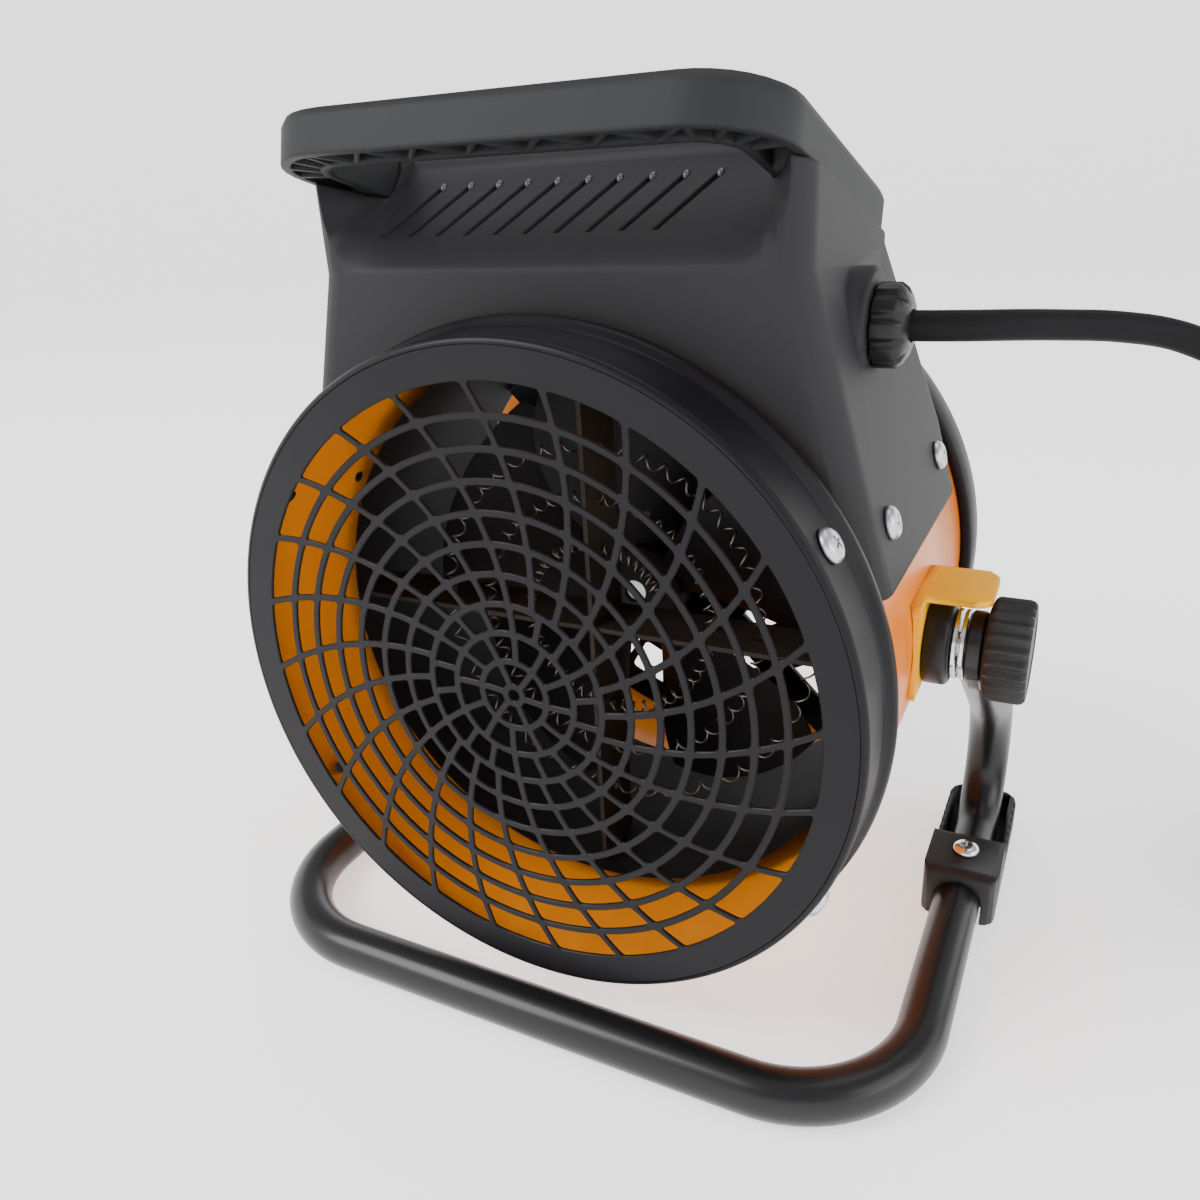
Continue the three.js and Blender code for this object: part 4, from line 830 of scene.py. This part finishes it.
# ---------------------------------------------------------------------------
# Two dials stand on the sunken panel behind the handle. Each is a black moulding with a ribbed edge,
# a raised grip bar and a pale pointer line, which turns past pale marks printed on the panel.
# ---------------------------------------------------------------------------
lid_lean = math.radians(15)
lid_front = Vector((0, -75, 147.8))
lid_tilt = Matrix.Rotation(-lid_lean, 4, "X")
dial_y = 6
panel_rise = 5.9
dial_outline = [(3.3, 0), (17.4, 0), (18, 0.5), (18, 2.0), (17.5, 2.6), (15.8, 3.2), (14.8, 7.0),
                (14.4, 7.9), (13.4, 8.4), (0, 8.4), (0, 5.7), (3.3, 5.7)]
bar_half = 13


def on_lid(x, y, rise):
    """A place that rises from the lid's underside, at x and y of the frame at the underside."""
    return lid_front + lid_tilt @ Vector((x, (y - lid_front.y) / math.cos(lid_lean), rise))


def fluted(form, outline, ribs, steps, place, depth):
    """An outline of (radius, y) turned about Y with flutes. Their depth is depth(radius, flute), where
    flute runs from 0 on a rib to 1 between two ribs."""
    rings = []
    for k in range(ribs * steps):
        a = 2 * math.pi * k / (ribs * steps)
        flute = 0.5 + 0.5 * math.cos(a * ribs)
        turned_in = [(r - depth(r, flute), y) for r, y in outline]
        rings.append([place @ Vector((r * math.sin(a), y, r * math.cos(a))) for r, y in turned_in])
    return form.loft(rings, around=True)


def printed_line(form, place, half_wide, low, high, start, end):
    """A thin flat line along Z from start to end, half_wide to each side of x = 0."""
    return form.loft([[place @ Vector((x, y, z)) for x, y in
                       ((-half_wide, low), (-half_wide, high), (half_wide, high), (half_wide, low))]
                      for z in (start, end)])


dial_black = moulded("dial plastic", (0.010, 0.010, 0.011), (0.015, 0.015, 0.016), 0.4, 1100, 0.6)
pale_ink = Finish("pale ink", Base_Color=(0.72, 0.72, 0.70))
pale_ink.fill(pale_ink.shader, {"Roughness": 0.52 + 0.16 * pale_ink.noise(300, 3)})
for name, x, mark_count, sweep in (("thermostat", -32, 10, 270), ("selector", 32, 4, 135)):
    spot = Matrix.Translation(on_lid(x, dial_y, panel_rise))
    base = spot @ lid_tilt @ Matrix.Rotation(math.pi / 2, 4, "X")
    dial = fluted(Form(), dial_outline, 30, 6, base,
                  lambda r, flute: 0.45 * flute if 13.5 < r < 17.4 else 0)
    bar = []
    for i in range(9):
        v = -bar_half + 2 * bar_half * i / 8
        end = max(0.05, 1 - (abs(v) / bar_half) ** 4)
        top = 8.9 + 0.3 * end
        bar.append([base @ Vector((u * (0.7 + 0.3 * end), y, v)) for u, y in
                    ((-2.2, 8.0), (-2.0, top), (-1.3, 9.2), (1.3, 9.2), (2.0, top), (2.2, 8.0))])
    dial.loft(bar)
    cap = bare(f"{name}_dial", dial.mesh(f"{name}_dial", axis_height), name, "soft_black", f"{name}_knob")
    dial_black.on(cap)
    mark = printed_line(Form(), base, 0.4, 9.15, 9.3, 4, 12.4)
    pointer = bare(f"{name}_pointer", mark.mesh(f"{name}_pointer", axis_height), name, "soft_black")
    scale = Form()
    for k in range(mark_count):
        turn = Matrix.Rotation(-math.radians(sweep * k / (mark_count - 1)), 4, "Y")
        printed_line(scale, base @ turn, 0.35, -0.25, -0.1, 19.6, 22.4 if k % 3 else 23.4)
    printed = bare(f"{name}_scale", scale.mesh(f"{name}_scale", axis_height), "heater", "black_plastic")
    pale_ink.on(pointer, printed)

# ---------------------------------------------------------------------------
# The cable gland: a black nylon nut with ten ribs on a raised round boss of the housing. It closes
# the sleeve inside it round the lead.
# ---------------------------------------------------------------------------
gland_face = (83.6, -8, 96.5)
gland_spot = Matrix.Translation(gland_face) @ Matrix.Rotation(-math.pi / 2, 4, "Z")
nut_outline = [(4.6, 0.3), (11.2, 0.3), (11.6, 0.8), (11.6, 6.2), (11.2, 6.9), (10.2, 8.2), (8.4, 9.2),
               (6.6, 9.9), (6.0, 10), (4.6, 10)]
nut_form = fluted(Form(), nut_outline, 10, 24, gland_spot,
                  lambda r, flute: 1.1 * max(0, flute - 0.55) / 0.45 if r > 9 else 0)
nut = bare("gland_cap", nut_form.mesh("gland_cap", axis_height, 30), "heater", "soft_black", "gland_nut")
nylon = moulded("black nylon", (0.007, 0.007, 0.008), (0.011, 0.011, 0.012), 0.3, 700, 0.5)
nylon.on(nut, nodes["gland_sleeve"])

# ---------------------------------------------------------------------------
# The pivots, right and left: a pressed amber bracket with a hood, a black bush, plated washers, a
# bolt, and a clamp knob with 24 straight ribs.
# ---------------------------------------------------------------------------
amber = Finish("amber enamel", Roughness=0.45, Specular_IOR_Level=0.05)
amber.fill(amber.shader, {"Base_Color": amber.mix(amber.noise(20, 4), (1.0, 0.43, 0.0), (1.0, 0.49, 0.0))})
amber.bump(amber.noise(400, 2), 0.00002, 0.5,
           Normal=amber.node("ShaderNodeBevel", {"samples": 4}, Radius=0.9 * MM))
bright = Finish("bright plate", Metallic=1.0)
bright_shade = bright.noise(160, 3)
bright.fill(bright.shader, {"Base_Color": bright.mix(bright_shade, (0.66, 0.67, 0.69), (0.82, 0.83, 0.85)),
                            "Roughness": 0.12 + 0.12 * bright_shade})
knob_black = moulded("knob plastic", (0.016, 0.016, 0.017), (0.023, 0.023, 0.024), 0.4, 900, 0.5)
bush_outline = [(bolt_hole, 103.4), (13.1, 103.4), (13.5, 103.9), (13.5, 109.0), (13.2, 109.9),
                (12.5, 110.6), (11.4, 111), (bolt_hole, 111)]
washer_thick = 1.6
knob_outline = [(4.4, 120.4), (11.6, 120.4), (13, 120.7), (15.2, 121.5), (16, 122.6), (16, 131.2),
                (15.6, 132.5), (14.6, 133.3), (13.2, 133.4), (12.6, 133.0), (4.4, 133.0)]
to_x = Matrix.Rotation(-math.pi / 2, 4, "Z")
for side, flip in (("right", False), ("left", True)):
    bracket = carried(f"bracket_{side}", f"pivot_bracket_{side}", "heater", "amber_paint", 40)
    amber.on(bracket)
    name = f"bush_{side}"
    bush = Form().lathe(bush_outline, 72, to_x).mesh(name, axis_height, 40, flip)
    nylon.on(bare(name, bush, "heater", "soft_black", f"pivot_bush_{side}"))
    for label, start in (("inner", 111.3), ("outer", 113.6)):
        name = f"washer_{label}_{side}_ring"
        end = start + washer_thick
        washer = Form().lathe([(bolt_hole, start), (10.7, start), (11, start + 0.35), (11, end - 0.35),
                               (10.7, end), (bolt_hole, end)], 64, to_x).mesh(name, axis_height, 40, flip)
        bright.on(bare(name, washer, "heater", "bright_steel", f"washer_{label}_{side}"))
    bright.on(nodes[f"pivot_bolt_{side}"])
    name = f"clamp_grip_{side}"
    grip = fluted(Form(), knob_outline, 24, 8, to_x,
                  lambda r, flute: 1.3 * flute ** 0.8 * max(0, min(1, (r - 13.4) / 2)))
    grip.lathe([(0, 129.8), (4.6, 129.8), (4.6, 133.0), (0, 133.0)], 32, to_x)
    knob_black.on(bare(name, grip.mesh(name, axis_height, 32, flip), f"clamp_{side}", "soft_black",
                       f"clamp_knob_{side}"))

# ---------------------------------------------------------------------------
# The feet are black mouldings that saddle the legs of the stand. A plated screw from above holds
# each one.
# ---------------------------------------------------------------------------
foot_black = moulded("foot plastic", (0.014, 0.014, 0.015), (0.020, 0.020, 0.021), 0.38, 800, 1.8)
for side in ("right", "left"):
    foot = carried(f"foot_moulding_{side}", f"foot_{side}", "stand", "soft_black")
    foot_black.on(foot)

# ---------------------------------------------------------------------------
# Plated pan head screws with a crossed recess: four hold the grille's rim, four the skirts of the
# housing and one each foot. Those of the rim and the skirts stopped at different angles.
# ---------------------------------------------------------------------------
rim_screw_angles = (31, 149, 211, 329)
rim_screw_y = -70
head_gap = 0.3
skirt_lean = math.radians(15.5)
skirt_step = 2.37                 # how far the skirts stand out from the drum
shoulder = 115                    # height over the axis at which the skirts begin
shoulder_half = (drum_outer + skirt_step - shoulder * math.sin(skirt_lean)) / math.cos(skirt_lean)
skirt_screw_z = 47
skirt_screw_ys = (-30.5, 43.6)
foot_screw_y = 36
foot_screw_z = 19.8


def screw_mesh(name):
    """A screw about Y whose head rests on y = 0, with its crossed recess cut in."""
    head = Form().lathe([(0, -6), (2, -6), (2, 0), (4.75, 0), (4.85, 0.25), (4.7, 1.0), (4.2, 1.75),
                         (3.4, 2.3), (2.2, 2.55), (0, 2.62)], 40).mesh(name)
    cross = Form()
    for a in (0, math.pi / 2):
        spin = Matrix.Rotation(a, 4, "Y")
        cross.loft([[spin @ Vector((x, y, z)) for x, z in ((-w, -0.42), (w, -0.42), (w, 0.42), (-w, 0.42))]
                    for y, w in ((1.1, 0.9), (3.2, 2.9))])
    tool = bpy.data.objects.new("recess", cross.mesh("recess"))
    body = bpy.data.objects.new("head", head)
    for piece in (tool, body):
        scene.collection.objects.link(piece)
    cutter = body.modifiers.new("recess", "BOOLEAN")
    cutter.operation = "DIFFERENCE"
    cutter.use_self = True
    cutter.object = tool
    bpy.context.view_layer.update()
    cut = bpy.data.meshes.new_from_object(body.evaluated_get(bpy.context.evaluated_depsgraph_get()))
    for piece in (tool, body):
        bpy.data.objects.remove(piece)
    return tidied(cut)


screw = screw_mesh("pan_screw")
outward = Matrix.Rotation(math.pi / 2, 4, "X")


def screw_at(name, node, body, place, slot, finish):
    """A screw whose head points along the place's Z."""
    mesh = screw.copy()
    mesh.name = name
    mesh.transform(place)
    finish.on(bare(name, mesh, body, slot, node))


def metres(x, y, z):
    return Matrix.Translation((x * MM, y * MM, z * MM))


def about_y(angle):
    return Matrix.Rotation(angle, 4, "Y")


for k, degrees in enumerate(rim_screw_angles):
    screw_at(f"ring_screw_{k + 1}", f"rim_screw_{k + 1}", "heater",
             metres(0, rim_screw_y, axis_height) @ about_y(math.pi / 2 - math.radians(degrees))
             @ metres(0, 0, grille_radius + head_gap) @ outward @ about_y(0.4 + k), "zinc_steel", zinc)
skirt_half = shoulder_half + (shoulder - skirt_screw_z) * math.tan(skirt_lean)
skirt_spots = [(side, y) for side in (1, -1) for y in skirt_screw_ys]
for k, (side, y) in enumerate(skirt_spots):
    screw_at(f"wall_screw_{k + 1}", f"skirt_screw_{k + 1}", "heater",
             metres(side * (skirt_half + head_gap * math.cos(skirt_lean)), y,
                    skirt_screw_z + head_gap * math.sin(skirt_lean) + axis_height)
             @ about_y(side * (math.pi / 2 - skirt_lean)) @ outward @ about_y(0.9 * k), "zinc_steel", zinc)
for side, way in (("right", 1), ("left", -1)):
    screw_at(f"saddle_screw_{side}", f"foot_screw_{side}", "stand",
             metres(way * stand_x, foot_screw_y, foot_screw_z) @ outward, "bright_steel", bright)
